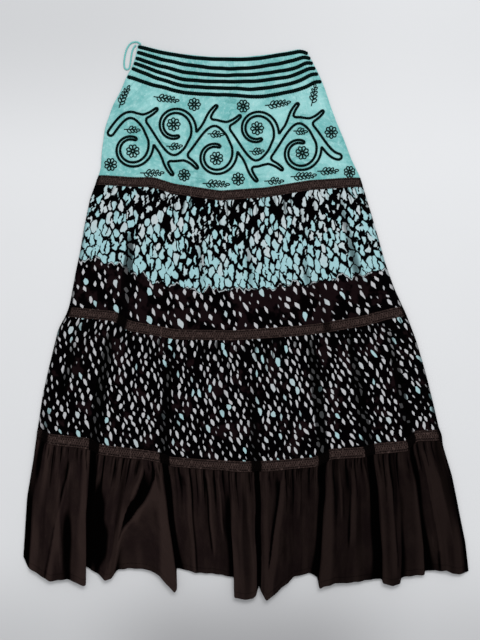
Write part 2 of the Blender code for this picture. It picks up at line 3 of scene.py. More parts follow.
import bpy
import numpy as np
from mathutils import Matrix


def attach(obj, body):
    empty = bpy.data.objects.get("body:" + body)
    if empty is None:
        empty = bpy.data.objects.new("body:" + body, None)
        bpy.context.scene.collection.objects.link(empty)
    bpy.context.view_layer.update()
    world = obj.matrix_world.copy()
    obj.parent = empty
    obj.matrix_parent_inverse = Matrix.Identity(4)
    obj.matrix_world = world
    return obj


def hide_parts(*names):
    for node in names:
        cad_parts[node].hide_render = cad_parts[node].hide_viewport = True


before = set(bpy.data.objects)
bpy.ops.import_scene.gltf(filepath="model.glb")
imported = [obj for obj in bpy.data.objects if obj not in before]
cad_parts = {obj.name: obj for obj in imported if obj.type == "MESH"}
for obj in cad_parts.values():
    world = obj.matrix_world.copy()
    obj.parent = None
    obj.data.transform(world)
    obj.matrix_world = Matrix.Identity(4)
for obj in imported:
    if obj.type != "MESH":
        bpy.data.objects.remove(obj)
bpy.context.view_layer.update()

# Long tiered skirt laid flat on a pale floor, front upwards, waist towards +Y.
# Tables and lengths are in millimetres about the skirt, and meshes are in metres.


# helpers for meshes
tableShift = np.array((0.0, 2.5, 0.0))  # from the tables' middle to the middle of the outline


def toMetres(points):
    return (points + tableShift) * 0.001


def selectOnly(piece):
    bpy.ops.object.select_all(action="DESELECT")
    piece.select_set(True)
    bpy.context.view_layer.objects.active = piece


def newGrid(name, columns, rows):
    bpy.ops.object.select_all(action="DESELECT")
    bpy.ops.mesh.primitive_grid_add(x_subdivisions=columns, y_subdivisions=rows, size=1)
    piece = bpy.context.object
    piece.name = piece.data.name = name
    return piece


def shapeGrid(piece, points, uvSize):
    # points: rows from the bottom up, columns from left to right
    piece.data.vertices.foreach_set("co", toMetres(points).astype(np.float32).ravel())
    layer = piece.data.uv_layers.active
    uv = np.zeros(len(layer.data) * 2, np.float32)
    layer.data.foreach_get("uv", uv)
    layer.data.foreach_set("uv", (uv.reshape(-1, 2) * np.array(uvSize)).astype(np.float32).ravel())
    piece.data.update()


def addMeasure(piece, name, values):
    attribute = piece.data.attributes.new(name, "FLOAT", "POINT")
    attribute.data.foreach_set("value", values.astype(np.float32).ravel())


def thicken(piece, thick):
    # downwards from the outer face
    selectOnly(piece)
    modifier = piece.modifiers.new("Solidify", "SOLIDIFY")
    modifier.thickness = thick * 0.001
    modifier.offset = -1.0
    bpy.ops.object.modifier_apply(modifier=modifier.name)


def smoothShade(piece, degrees):
    selectOnly(piece)
    bpy.ops.object.shade_smooth_by_angle(angle=math.radians(degrees))


def closeMesh(piece):
    selectOnly(piece)
    bpy.ops.object.mode_set(mode="EDIT")
    bpy.ops.mesh.select_all(action="SELECT")
    bpy.ops.mesh.remove_doubles(threshold=0.00001)
    bpy.ops.mesh.normals_make_consistent(inside=False)
    bpy.ops.object.mode_set(mode="OBJECT")


def finishPiece(piece, material, nodes=()):
    piece.data.materials.clear()
    piece.data.materials.append(material)
    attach(piece, "root")
    if nodes:
        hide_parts(*nodes)
    return piece


def makeSheet(name, points, uvSize, thick, degrees, material, slot, node, **measures):
    # a panel or a braid from x, y and z of its outer face, with what its material reads
    rows, columns = points[0].shape
    piece = newGrid(name, columns - 1, rows - 1)
    shapeGrid(piece, np.stack(points, axis=-1), uvSize)
    for label, values in measures.items():
        addMeasure(piece, label, values)
    thicken(piece, thick)
    smoothShade(piece, degrees)
    return finishPiece(piece, material, [node])


# helpers for lines and unevenness
def softRead(keys, values, at, half):
    # reading of a table, rounded over half to each side
    reach = np.clip(np.minimum(at - keys[0], keys[-1] - at), 0, half)
    return np.mean([np.interp(at + reach * step, keys, values) for step in np.linspace(-1, 1, 7)], axis=0)


def uneven(number, low, high):
    wave = np.sin(number * 12.9898 + 4.137) * 43758.5453
    return low + (high - low) * (wave - np.floor(wave))


def ripple(x, y, size, seed):
    # smooth unevenness between about -1 and 1
    total = np.zeros(np.broadcast(x, y).shape)
    for number in range(5):
        turn = 2.4 * number + seed
        pace = (1 + 0.37 * number) / size
        total = total + np.sin(x * pace * math.cos(turn) + y * pace * math.sin(turn) + 1.7 * seed + number)
    return total / 3.2


def creaseDepth(z, spacing, reach, depth):
    # how far each point lies below the cloth beside it, up to 1, or above it, down to -1
    count = max(1, round(3 * reach / spacing))
    kernel = np.exp(-0.5 * (np.arange(-count, count + 1) * spacing / reach) ** 2)
    padded = np.pad(z, ((0, 0), (count, count)), mode="edge")
    soft = np.stack([np.convolve(row, kernel / kernel.sum(), mode="valid") for row in padded])
    return np.clip((soft - z) / depth, -1, 1)


def spreadOut(values, spacing, reach):
    # each row's highest value within reach to both sides
    count = max(1, round(reach / spacing))
    padded = np.pad(values, ((0, 0), (count, count)), mode="edge")
    return np.lib.stride_tricks.sliding_window_view(padded, 2 * count + 1, axis=1).max(axis=-1)


# the skirt's seams, sides and folds
seamTables = {
    # x, y, lift of the cloth's underside
    "waist": np.array((
        (-194.4, 495.9, 1.8), (-186, 494, 2.6), (-155, 486, 2.7), (-117, 479, 2.8),
        (-74, 474.4, 2.9), (-38, 473, 3), (-2, 473.4, 3), (34, 477, 2.9),
        (70, 482.4, 2.7), (97, 488, 2.6), (109.8, 482, 1.8))),
    "seam1": np.array((
        (-268, 252, 1.8), (-256, 252, 4), (-202, 248.4, 4.4), (-167, 248.8, 4.4),
        (-131, 237, 4.6), (-47, 224, 4.8), (36, 230, 4.8), (113, 243, 4.6),
        (173, 247, 4.2), (196, 248, 3.8), (207.9, 248, 1.8))),
    "seam2": np.array((
        (-320.6, 15, 1.8), (-308, 15, 5.6), (-234, 8, 6.6), (-222, -1, 3.4),
        (-210, -9.5, 5.8), (-126, -25, 6.6), (-22, -26.6, 7), (81, -19.5, 7),
        (130, -14.5, 6), (146, -12.5, 4.4), (160, -9.5, 6.2), (209, -1, 6),
        (250, 10, 6), (273, 15.5, 4.6), (285.3, 16.4, 1.8))),
    "seam3": np.array((
        (-375.3, -201, 1.8), (-359, -209, 3.4), (-351, -212, 7.6), (-283, -219, 9),
        (-273, -225, 2.8), (-262, -231, 7.6), (-208, -237, 8.6), (-157, -243.5, 8.6),
        (-146, -248, 3), (-136, -253, 6.6), (-74, -258, 6.6), (-36, -260, 7.4),
        (-2, -261.5, 9), (20, -261, 4.8), (34, -260.6, 8), (80, -257.5, 7.8),
        (128, -253.5, 7.6), (141, -246, 2.8), (153, -238.5, 8.2), (184, -236.8, 8.4),
        (212, -235.6, 7.8), (223, -232, 3.2), (233, -228.6, 8), (263, -226.5, 8.6),
        (291, -224.4, 7.6), (297, -215, 4.2), (304, -206, 7), (333, -205, 6.4),
        (351.9, -204.3, 1.8))),
}
hemTable = np.array((
    # fold line, x, y, lift; where a fold is tucked under the next, its x lies beneath it
    (0, -400, -424, 1.8), (0.5, -392, -442, 3), (1, -388, -444, 9),
    (3, -352, -467, 11), (4.5, -319, -463, 9), (5.5, -291, -475, 13),
    (6, -286, -474, 12), (6.5, -288, -442, 2.6), (8.5, -268, -453, 4),
    (10, -253, -465, 11), (11, -241, -462, 10), (11.5, -230, -446, 5),
    (12, -195, -444, 6), (12.5, -167, -449, 8), (13, -148, -465, 11),
    (13.5, -128, -488, 13), (14, -123, -480, 12), (14.5, -125, -444, 2.6),
    (17, -90, -452, 5), (19, -58, -454, 5), (21.5, -20, -462, 3),
    (22, -22, -496, 12), (23, -7, -499, 13.5), (24, 12, -498, 13),
    (24.5, 18, -492, 11), (25, 23, -474, 3), (25.5, 27, -485, 10),
    (26, 36, -501, 13.5), (27, 53, -488, 12), (29, 86, -460, 7),
    (31.5, 113, -454, 4), (32.5, 128, -460, 3), (33, 131, -480, 13),
    (34, 158, -470, 11), (36, 191, -469, 10), (38, 243, -463, 5),
    (38.5, 245, -471, 11), (39.5, 263, -475, 12), (40.5, 276, -470, 11),
    (41, 278, -460, 8), (41.5, 295, -457, 8.5), (42, 320, -456, 8),
    (42.5, 321, -449, 4), (44, 356, -449, 9), (45.5, 383, -456, 8),
    (46, 400, -449, 1.8)))
backHemTable = np.array((
    (-392, -416), (-330, -434), (-200, -437), (0, -441), (200, -441),
    (340, -440), (392, -438)))
leftSide = np.array((  # y, x from the waist down
    (495.9, -194.4), (476, -198), (453, -206), (438, -215), (417, -223),
    (386, -239.5), (347, -253), (305, -258.8), (272, -261), (252, -268),
    (219, -280), (172, -290), (125, -297.7), (89, -305.5), (35, -315.4),
    (15, -320.6), (-8, -333), (-15, -337), (-82, -353.5), (-134, -365.2),
    (-201, -375.3), (-251, -382), (-317, -393.3), (-424, -400)))[::-1]
rightSide = np.array((
    (482, 109.8), (464, 120), (445, 129.6), (423, 139.3), (382, 153),
    (351, 164.7), (324, 176.4), (292, 188.1), (256, 205.7), (248, 207.9),
    (235, 211.7), (192, 225), (137, 240.8), (102, 250.6), (58, 266.2),
    (16.4, 285.3), (8, 289), (-35, 305.5), (-91, 322), (-147, 336.1),
    (-195, 347), (-204.3, 351.9), (-224, 353.5), (-278, 369.9), (-345, 383.4),
    (-399, 394.2), (-449, 400)))[::-1]

clothThick = 1.2  # from the underside, which the tables lift, to the outer face
leastLift = 1.8  # room for the back cloth under the front
panels = {
    # height: from seam to seam; gathers: how many and how high at most; grid: columns and rows
    # cut: width and length of the panel's cloth before it was gathered, in metres
    # backCut: less than the ruffle's real cut, because its back lies nearly flat here
    # creases: reach and depth of the broad ones, and how strongly the fine ones show
    "yoke": {
        "seams": ("waist", "seam1"), "height": 247.0, "gathers": 0, "crest": 0.0, "grid": (270, 130),
        "cut": (0.470, 0.250), "area": 0.096, "creases": (9.0, 1.4, 0.85),
        "node": "yoke", "slot": "turquoise_cotton",
    },
    "tier1": {
        "seams": ("seam1", "seam2"), "height": 252.0, "gathers": 30, "crest": 1.3, "grid": (400, 92),
        "cut": (0.66, 0.255), "creases": (9.0, 1.4, 0.85), "node": "tier_1", "slot": "aqua_print",
    },
    "tier2": {
        "seams": ("seam2", "seam3"), "height": 230.0, "gathers": 36, "crest": 1.5, "grid": (440, 84),
        "cut": (0.80, 0.235), "creases": (9.0, 1.4, 0.85), "node": "tier_2", "slot": "spotted_print",
    },
    "ruffle": {
        "seams": ("seam3", "hem"), "height": 212.0, "gathers": 46, "crest": 1.8, "grid": (540, 72),
        "cut": (1.10, 0.225), "backCut": (0.94, 0.222), "creases": (11.5, 1.9, 0.65),
        "node": "ruffle", "slot": "dark_brown_cotton",
    },
}
softFolds = (
    # panel, where across, half width, depth at the shares down
    ("tier1", 0.160, 0.020, ((0, 0), (0.3, 0), (0.62, 2.6), (1, 0))),
    ("tier1", 0.745, 0.018, ((0, 0), (0.3, 0), (0.62, 1.8), (1, 0))),
    ("tier1", 0.905, 0.026, ((0, 0), (0.3, 2.0), (0.62, 2.2), (1, 0))),
    ("tier1", 0.400, 0.030, ((0, 0), (0.3, 1.0), (0.62, 1.4), (1, 0))),
    ("tier1", 0.560, 0.024, ((0, 0), (0.3, 0.8), (0.62, 1.2), (1, 0))),
    ("tier2", 0.048, 0.020, ((0, 0), (0.14, 1.4), (0.55, 2.4), (1, 0))),
    ("tier2", 0.145, 0.022, ((0, 0), (0.14, 1.6), (0.55, 3.4), (1, 0))),
    ("tier2", 0.315, 0.018, ((0, 0), (0.14, 0), (0.55, 2.8), (1, 0))),
    ("tier2", 0.460, 0.030, ((0, 0), (0.14, 1.2), (0.55, 1.4), (1, 0))),
    ("tier2", 0.715, 0.022, ((0, 0), (0.14, 1.4), (0.55, 3.6), (1, 0))),
    ("tier2", 0.820, 0.020, ((0, 0), (0.14, 1.0), (0.55, 3.2), (1, 0))),
    ("tier2", 0.930, 0.020, ((0, 0), (0.14, 0.8), (0.55, 1.8), (1, 0))),
)
ruffleWide = 740.0  # across the middle of the ruffle as it lies
ruffleRidges = (
    # across at the seam and at the edge, from and to down, half width, height, crisp side
    (0.303, 0.222, 0.02, 1.00, 11.0, 2.4, -1),
    (0.268, 0.226, 0.05, 0.95, 8.0, 1.6, 1),
    (0.612, 0.566, 0.03, 1.00, 12.0, 2.6, -1),
    (0.650, 0.640, 0.00, 0.45, 7.0, 1.2, 1),
    (0.375, 0.368, 0.00, 1.00, 7.0, 1.2, 1),
    (0.420, 0.418, 0.00, 0.80, 7.0, 1.4, -1),
    (0.446, 0.447, 0.02, 0.62, 6.0, 1.1, 1),
    (0.060, 0.085, 0.05, 0.90, 12.0, 1.4, 1),
    (0.096, 0.060, 0.10, 1.00, 9.0, 1.3, -1),
    (0.780, 0.772, 0.00, 0.70, 8.0, 1.4, -1),
    (0.745, 0.760, 0.02, 0.50, 7.0, 1.1, 1),
    (0.862, 0.868, 0.03, 0.90, 8.0, 1.2, 1),
    (0.945, 0.955, 0.05, 1.00, 9.0, 1.5, -1),
)
ruffleShades = (
    # x, y, half widths, how much more the cloth lies in shade
    (-202, -420, 32, 48, -0.95), (-272, -350, 15, 80, 0.95),
    (-252, -400, 15, 34, 0.6), (334, -330, 26, 80, -0.45), (100, -400, 26, 60, -0.3),
)
waistCordPlaces = (0.0, 0.26, 0.50, 0.69, 0.87, 1.0)
waistCordShares = (
    (0.016, 0.018, 0.017, 0.020, 0.017, 0.016), (0.056, 0.076, 0.085, 0.082, 0.076, 0.052),
    (0.098, 0.135, 0.132, 0.133, 0.134, 0.088), (0.135, 0.190, 0.177, 0.185, 0.182, 0.126),
    (0.174, 0.238, 0.222, 0.246, 0.234, 0.168), (0.236, 0.286, 0.270, 0.306, 0.292, 0.226),
)


def seamLine(name, u):
    if name == "hem":
        line = hemTable[-1, 0] * u
        return [softRead(hemTable[:, 0], hemTable[:, k], line, 0.11) for k in (1, 2, 3)]
    table = seamTables[name]
    x = table[0, 0] + (table[-1, 0] - table[0, 0]) * u
    return x, softRead(table[:, 0], table[:, 1], x, 6), softRead(table[:, 0], table[:, 2], x, 3)


def gatherWave(facts, u, down):
    # small gathers that fall away below the seam, each of its own height and length
    total = np.zeros(u.shape)
    if not facts["gathers"]:
        return total
    for times, share, short, long in ((1.0, 1.0, 55.0, 120.0), (2.3, 0.45, 14.0, 48.0)):
        place = u * facts["gathers"] * times
        place = place + 0.22 * np.sin(place * 1.7 + times) + 0.12 * np.sin(down / 37.0 + place * 0.6)
        number = np.floor(place)
        length = uneven(number * 2 + 1, short, long)
        rise = np.clip((down - 6.5) / 6.0, 0, 1)
        fall = np.clip(1 - (down - 12.0) / length, 0, 1)
        crown = np.sin(math.pi * (place - number)) ** 0.8
        total = total + facts["crest"] * share * uneven(number * 2 + 1.5, 0.5, 1.0) * rise * fall * crown
    return total


def outerFace(panel, u, v):
    # x, y and z of the outer face of a front panel
    facts = panels[panel]
    top, low = (seamLine(name, u) for name in facts["seams"])
    x, y, lift = (a + (b - a) * v for a, b in zip(top, low))
    for side, end in ((leftSide, 0.0), (rightSide, 1.0)):
        ends = [seamLine(name, np.full(u.shape, end)) for name in facts["seams"]]
        straightX, straightY = (a + (b - a) * v for a, b in zip(ends[0][:2], ends[1][:2]))
        share = u if end else 1 - u
        x = x + share * (softRead(side[:, 0], side[:, 1], straightY, 7) - straightX)
    for where, middle, half, depths in softFolds:
        if where == panel:
            near = np.clip(np.abs(u - middle) / half, 0, 1)
            shares, sizes = zip(*depths)
            lift = lift - np.interp(v, shares, sizes) * (0.5 + 0.5 * np.cos(math.pi * near))
    lift = np.maximum(lift, leastLift + 0.4 * np.clip(np.minimum(u, 1 - u) * 90, 0, 1))
    down = v * facts["height"]
    inside = np.clip(np.minimum(down, facts["height"] - down) / 16 - 0.6, 0, 1)
    lift = lift + gatherWave(facts, u, down)
    if panel == "ruffle":
        rise = np.clip((down - 9) / 20, 0, 1)
        for topU, lowU, start, stop, half, height, crisp in ruffleRidges:
            across = (u - (topU + (lowU - topU) * v)) * ruffleWide / half
            wide = np.where(across * crisp > 0, across / 0.28, across)
            span = np.clip(np.minimum(v - start, stop - v + 0.08) / 0.12, 0, 1)
            lift = lift + height * rise * span * np.exp(-wide ** 2)
        lift = lift + rise * (0.45 + 0.45 * ripple(x, y * 0.35, 9.0, 3.1))
        y = y + np.clip((v - 0.8) / 0.2, 0, 1) * 1.1 * ripple(x, 0 * x, 5.0, 1.3)
    elif panel == "yoke":
        cords = np.array([np.interp(u, waistCordPlaces, row) for row in waistCordShares])
        between = np.clip(np.min(np.abs(cords - v), axis=0) / 0.022, 0, 1)
        inWaist = np.clip((0.31 - v) / 0.03, 0, 1)
        lift = lift + 0.7 * between * inWaist * np.clip(np.minimum(u, 1 - u) * 40, 0, 1)
        lift = lift + inside * (0.35 + 0.35 * ripple(x, y, 16.0, 0.7)) * (1 - inWaist)
    else:
        lift = lift + inside * (0.45 + 0.45 * ripple(x, y * 0.45, 10.0, 2.2 + facts["crest"]))
    return x, y, lift + clothThick


# helpers for materials
def linearColour(red, green, blue):
    parts = [c / 255 for c in (red, green, blue)]
    return tuple(c / 12.92 if c <= 0.04045 else ((c + 0.055) / 1.055) ** 2.4 for c in parts) + (1.0,)


def addNode(tree, kind, inputs=None, **settings):
    made = tree.nodes.new(kind)
    for key, value in settings.items():
        setattr(made, key, value)
    for key, value in (inputs or {}).items():
        if isinstance(value, bpy.types.NodeSocket):
            tree.links.new(value, made.inputs[key])
        else:
            made.inputs[key].default_value = value
    return made


def calc(tree, operation, a, b=0.0, clamp=False):
    return addNode(tree, "ShaderNodeMath", {0: a, 1: b}, operation=operation, use_clamp=clamp).outputs[0]


def product(tree, a, b):
    return calc(tree, "MULTIPLY", a, b)


def plusShare(tree, base, value, share):
    return calc(tree, "ADD", base, product(tree, value, share))


def lessShare(tree, base, value, share):
    return calc(tree, "SUBTRACT", base, product(tree, value, share))


def vectorCalc(tree, operation, a, b):
    return addNode(tree, "ShaderNodeVectorMath", {0: a, 1: b}, operation=operation).outputs


def stretched(tree, vector, sizes):
    return vectorCalc(tree, "MULTIPLY", vector, sizes)[0]


def partsOf(tree, vector):
    return addNode(tree, "ShaderNodeSeparateXYZ", {0: vector}).outputs


def remap(tree, value, low, high, toLow=0.0, toHigh=1.0):
    return addNode(tree, "ShaderNodeMapRange",
                   {"Value": value, "From Min": low, "From Max": high, "To Min": toLow, "To Max": toHigh},
                   interpolation_type="SMOOTHSTEP").outputs["Result"]


def mixColour(tree, share, first, second):
    # a colour is a socket, or its red, green and blue up to 255
    first, second = (linearColour(*c) if isinstance(c, tuple) else c for c in (first, second))
    return addNode(tree, "ShaderNodeMix", {0: share, 6: first, 7: second}, data_type="RGBA").outputs[2]


def tint(tree, colour, measure, low, high, second, most=1.0):
    # the second colour comes in as the measure goes from low to high
    return mixColour(tree, remap(tree, measure, low, high, 0.0, most), colour, second)


def noiseOf(tree, vector, scale, detail=3.0, rough=0.55):
    return addNode(tree, "ShaderNodeTexNoise", {"Vector": vector, "Scale": scale, "Detail": detail,
                                                "Roughness": rough}).outputs["Fac"]


def newGroup(name, inputs, outputs):
    # inputs: name and default, after the vector that all of them read; outputs: names of values
    group = bpy.data.node_groups.new(name, "ShaderNodeTree")
    for label, default in (("Vector", (0, 0, 0)), *inputs):
        kind = "NodeSocketVector" if isinstance(default, tuple) else "NodeSocketFloat"
        group.interface.new_socket(label, in_out="INPUT", socket_type=kind).default_value = default
    for label in outputs:
        group.interface.new_socket(label, in_out="OUTPUT", socket_type="NodeSocketFloat")
    return group, group.nodes.new("NodeGroupInput").outputs, group.nodes.new("NodeGroupOutput").inputs


def finishGroup(group, out, **values):
    for label, value in values.items():
        group.links.new(value, out[label])
    return group


def placeGroup(tree, group, **inputs):
    return addNode(tree, "ShaderNodeGroup", inputs, node_tree=group).outputs


def readUv(tree):
    return addNode(tree, "ShaderNodeUVMap", uv_map="UVMap").outputs[0]


def readMeasure(tree, name):
    return addNode(tree, "ShaderNodeAttribute", attribute_name=name).outputs["Fac"]


def newMaterial(name, rough, specular=0.08):
    material = bpy.data.materials.new(name)
    material.use_nodes = True
    shader = material.node_tree.nodes["Principled BSDF"]
    shader.inputs["Roughness"].default_value = rough
    shader.inputs["Specular IOR Level"].default_value = specular
    return material, material.node_tree


def finishLook(material, colour, height=None, strength=1.0):
    tree = material.node_tree
    shader = tree.nodes["Principled BSDF"]
    tree.links.new(colour, shader.inputs["Base Color"])
    if height is not None:
        bump = addNode(tree, "ShaderNodeBump", {"Height": height, "Distance": 1.0, "Strength": strength})
        tree.links.new(bump.outputs["Normal"], shader.inputs["Normal"])
    return material


# node groups that several materials share
def makeClothRelief():
    # plain weave, slubs and soft creases of thin cotton; height is in metres
    group, given, out = newGroup(
        "clothRelief", (("Thread", 0.0008), ("Wrinkle", 1.0), ("Upright", 2.5)), ("Height", "Tone", "Fold"))
    thread = calc(group, "DIVIDE", 0.314, given["Thread"])
    waves = [addNode(group, "ShaderNodeTexWave", {"Vector": given["Vector"], "Scale": thread,
                                                  "Distortion": 0.4, "Detail": 0.0},
                     bands_direction=way).outputs["Fac"] for way in ("X", "Y")]
    weave = product(group, calc(group, "ADD", *waves), 0.00006)
    across = addNode(group, "ShaderNodeCombineXYZ", {0: given["Upright"], 1: 1.0, 2: 1.0}).outputs[0]
    drawn = stretched(group, given["Vector"], across)
    broad = noiseOf(group, drawn, 26.0, 3.0, 0.5)
    fine = noiseOf(group, drawn, 95.0, 4.0, 0.6)
    creases = calc(group, "ABSOLUTE", calc(group, "SUBTRACT", broad, 0.5))
    folds = plusShare(group, product(group, creases, 0.006), fine, 0.0011)
    slub = noiseOf(group, stretched(group, given["Vector"], (1.0, 9.0, 1.0)), 260.0, 2.0)
    height = plusShare(group, plusShare(group, weave, folds, given["Wrinkle"]), slub, 0.00008)
    tone = plusShare(group, product(group, slub, 0.35), fine, 0.65)
    return finishGroup(group, out, Height=height, Tone=tone, Fold=remap(group, creases, 0.030, 0.0))


def driftedCell(group, given, driftScale):
    # the place on the cloth, moved about by the wobble and counted in cells along the two rows
    drift = addNode(group, "ShaderNodeTexNoise",
                    {"Vector": given["Vector"], "Scale": driftScale, "Detail": 2.0})
    away = vectorCalc(group, "SUBTRACT", drift.outputs["Color"], (0.5, 0.5, 0.5))[0]
    moved = addNode(group, "ShaderNodeVectorMath", {0: away, "Scale": given["Wobble"]},
                    operation="SCALE").outputs[0]
    spot = vectorCalc(group, "ADD", given["Vector"], moved)[0]
    rows = [vectorCalc(group, "DOT_PRODUCT", spot, given[name])["Value"] for name in ("RowA", "RowB")]
    return addNode(group, "ShaderNodeCombineXYZ", {0: rows[0], 1: rows[1]}).outputs[0]


def voronoiOf(group, cell, randomness, feature="F1"):
    return addNode(group, "ShaderNodeTexVoronoi", {"Vector": cell, "Scale": 1.0, "Randomness": randomness},
                   voronoi_dimensions="2D", feature=feature).outputs


def chancesOf(group, cells):
    return addNode(group, "ShaderNodeSeparateColor", {"Color": cells["Color"]}).outputs


def makeSpotPrint():
    # rows of small slanting lozenges; RowA and RowB turn cloth metres into cells, and SideA and
    # SideB turn cells back into millimetres
    group, given, out = newGroup(
        "spotPrint",
        (("RowA", (30, 54, 0)), ("RowB", (-69, 42, 0)), ("SideA", (8.4, -10.8, 0)), ("SideB", (14, 6, 0)),
         ("Wide", 3.2), ("Tall", 6.3), ("Vary", 0.5), ("Keep", 0.9), ("Wobble", 0.006)),
        ("Mask", "Random", "Choice"))
    cell = driftedCell(group, given, 24.0)
    cells = voronoiOf(group, cell, 0.4)
    chance = chancesOf(group, cells)
    off = vectorCalc(group, "SUBTRACT", cell, cells["Position"])[0]
    dx, dy = (vectorCalc(group, "DOT_PRODUCT", off, given[name])["Value"] for name in ("SideA", "SideB"))
    tilt = plusShare(group, 0.10, chance[1], 0.42)
    sine, cosine = calc(group, "SINE", tilt), calc(group, "COSINE", tilt)
    beside = plusShare(group, product(group, dx, cosine), dy, sine)
    ahead = lessShare(group, product(group, dy, cosine), dx, sine)
    parts = [calc(group, "POWER", calc(group, "ABSOLUTE", calc(group, "DIVIDE", value, given[name])), 1.22)
             for value, name in ((beside, "Wide"), (ahead, "Tall"))]
    far = calc(group, "POWER", calc(group, "ADD", *parts), 0.82)
    size = plusShare(group, 1.0, given["Vary"], calc(group, "SUBTRACT", chance[0], 0.55))
    luck = calc(group, "FRACT", product(group, chance[2], 7.3))
    size = plusShare(group, size, calc(group, "GREATER_THAN", luck, 0.91), 0.5)
    edge = noiseOf(group, given["Vector"], 380.0, 2.0)
    far = plusShare(group, far, calc(group, "SUBTRACT", edge, 0.5), 0.36)
    mask = calc(group, "DIVIDE", calc(group, "SUBTRACT", size, far), 0.16, clamp=True)
    kept = calc(group, "LESS_THAN", chance[2], given["Keep"])
    return finishGroup(group, out, Mask=product(group, mask, kept), Random=luck, Choice=chance[0])


def makeNetPrint():
    # rounded cells of many sizes inside a dark net, in slanting bands
    group, given, out = newGroup(
        "netPrint",
        (("RowA", (57, 47, 0)), ("RowB", (-88, 19, 0)), ("Line", 0.1), ("Band", 0.2), ("Wobble", 0.006),
         ("Open", 0.12)),
        ("Mask", "Random", "Choice"))
    cell = driftedCell(group, given, 60.0)
    edges = voronoiOf(group, cell, 0.72, "DISTANCE_TO_EDGE")["Distance"]
    cells = voronoiOf(group, cell, 0.72)
    chance = chancesOf(group, cells)
    slant = addNode(group, "ShaderNodeMapping", {"Vector": given["Vector"], "Rotation": (0, 0, 0.62),
                                                 "Scale": (0.105, 0.017, 1.0)},
                    vector_type="TEXTURE").outputs[0]
    band = remap(group, noiseOf(group, slant, 1.0, 2.0), 0.46, 0.57)
    line = plusShare(group, given["Line"], given["Band"], band)
    line = plusShare(group, line, calc(group, "SUBTRACT", chance[0], 0.5), 0.12)
    clear = remap(group, noiseOf(group, given["Vector"], 70.0, 2.0), 0.52, 0.66)
    line = lessShare(group, line, given["Open"], clear)
    mask = calc(group, "DIVIDE", calc(group, "SUBTRACT", edges, line), 0.05, clamp=True)
    corner = remap(group, cells["Distance"], 0.62, 0.52)  # rounds off what lies far from a cell's middle
    return finishGroup(group, out, Mask=product(group, mask, corner), Random=chance[2], Choice=chance[1])


def makeCordTwist():
    # slanting plies along a cord; height is in metres; Shade is painted shade in the plies' grooves and
    # painted highlight on their crests, mixed with fibre fuzz
    group, given, out = newGroup("cordTwist", (("Pitch", 0.0026),), ("Height", "Shade"))
    parts = partsOf(group, given["Vector"])
    place = plusShare(group, calc(group, "DIVIDE", parts[0], given["Pitch"]), parts[1], 180.0)
    wave = calc(group, "SINE", product(group, place, math.tau))
    fuzz = noiseOf(group, given["Vector"], 1500.0, 3.0)
    height = plusShare(group, product(group, wave, 0.00014), fuzz, 0.0003)
    shade = plusShare(group, product(group, wave, 0.25), fuzz, 0.8)
    return finishGroup(group, out, Height=height, Shade=shade)


clothRelief = makeClothRelief()
spotPrint = makeSpotPrint()
netPrint = makeNetPrint()
cordTwist = makeCordTwist()


# colours, and the material of each kind of piece
# the fold colour is painted shade for creases, and the palest colour is partly a painted highlight on raised
# wrinkles
yokeLook = {
    "base": (152, 208, 207), "pale": (194, 236, 235), "deep": (112, 180, 179), "slubAndHighlight": (202, 230, 229),
    "fold": (66, 142, 140),
}
# a cord's deep and light colours, and the loop's light one, are painted shade between the plies and painted
# highlight on them; the embroidery thread also takes the deep colour for its darker fibres
cordLook = {"base": (3, 21, 19), "light": (20, 46, 42), "deep": (0, 5, 5), "thread": (20, 44, 40)}
loopLook = {"base": (92, 176, 172), "light": (146, 216, 212)}
# the braid's deep colour is painted shade between its strands and also the colour of its darker fibres
braidLook = {"base": (62, 49, 46), "light": (104, 86, 81), "deep": (14, 9, 9), "shade": (2, 1, 1)}
printLook = {
    "black": (2, 1, 2), "brown": (21, 12, 14), "aqua": (162, 204, 209), "grey": (194, 205, 208),
    "white": (189, 190, 193), "deepAqua": (124, 166, 174), "dull": (120, 124, 128), "shade": (1, 1, 1),
}
# the light colour is a painted highlight on ridges and raised wrinkles and also pales the slubs; the deep
# one, black, is painted shade in folds and gathers, darkens the cloth towards the right and marks the hem's
# stitching
ruffleLook = {"base": (26, 18, 18), "warm": (36, 27, 25), "light": (54, 42, 39), "deep": (0, 0, 0)}


def newCloth(name, rough, specular, thread, wrinkle, upright):
    material, tree = newMaterial(name, rough, specular)
    cloth = readUv(tree)
    relief = placeGroup(tree, clothRelief, Vector=cloth, Thread=thread, Wrinkle=wrinkle, Upright=upright)
    return material, tree, cloth, relief


def shadeCreases(tree, colour, deep, low, high, most):
    return tint(tree, colour, readMeasure(tree, "crease"), low, high, deep, most)


def makeYokeCotton():
    material, tree, cloth, relief = newCloth("turquoise cotton", 0.88, 0.06, 0.0007, 0.9, 0.6)
    cloudy = noiseOf(tree, cloth, 16.0, 4.0, 0.6)
    small = noiseOf(tree, cloth, 130.0, 4.0, 0.7)
    colour = tint(tree, yokeLook["deep"], cloudy, 0.36, 0.66, yokeLook["base"])
    colour = tint(tree, colour, small, 0.46, 0.74, yokeLook["pale"], 0.5)
    # paler on the slubs, and a painted highlight on the raised fine wrinkles
    colour = tint(tree, colour, relief["Tone"], 0.5, 0.75, yokeLook["slubAndHighlight"], 0.4)
    # painted shade along the soft wrinkles' creases and in the cloth's deeper creases
    crumpled = remap(tree, noiseOf(tree, cloth, 9.0, 2.0), 0.42, 0.62, 0.0, 0.5)
    colour = mixColour(tree, product(tree, relief["Fold"], crumpled), colour, yokeLook["fold"])
    colour = shadeCreases(tree, colour, yokeLook["fold"], 0.1, 0.9, 0.7)
    return finishLook(material, colour, relief["Height"], 0.8)


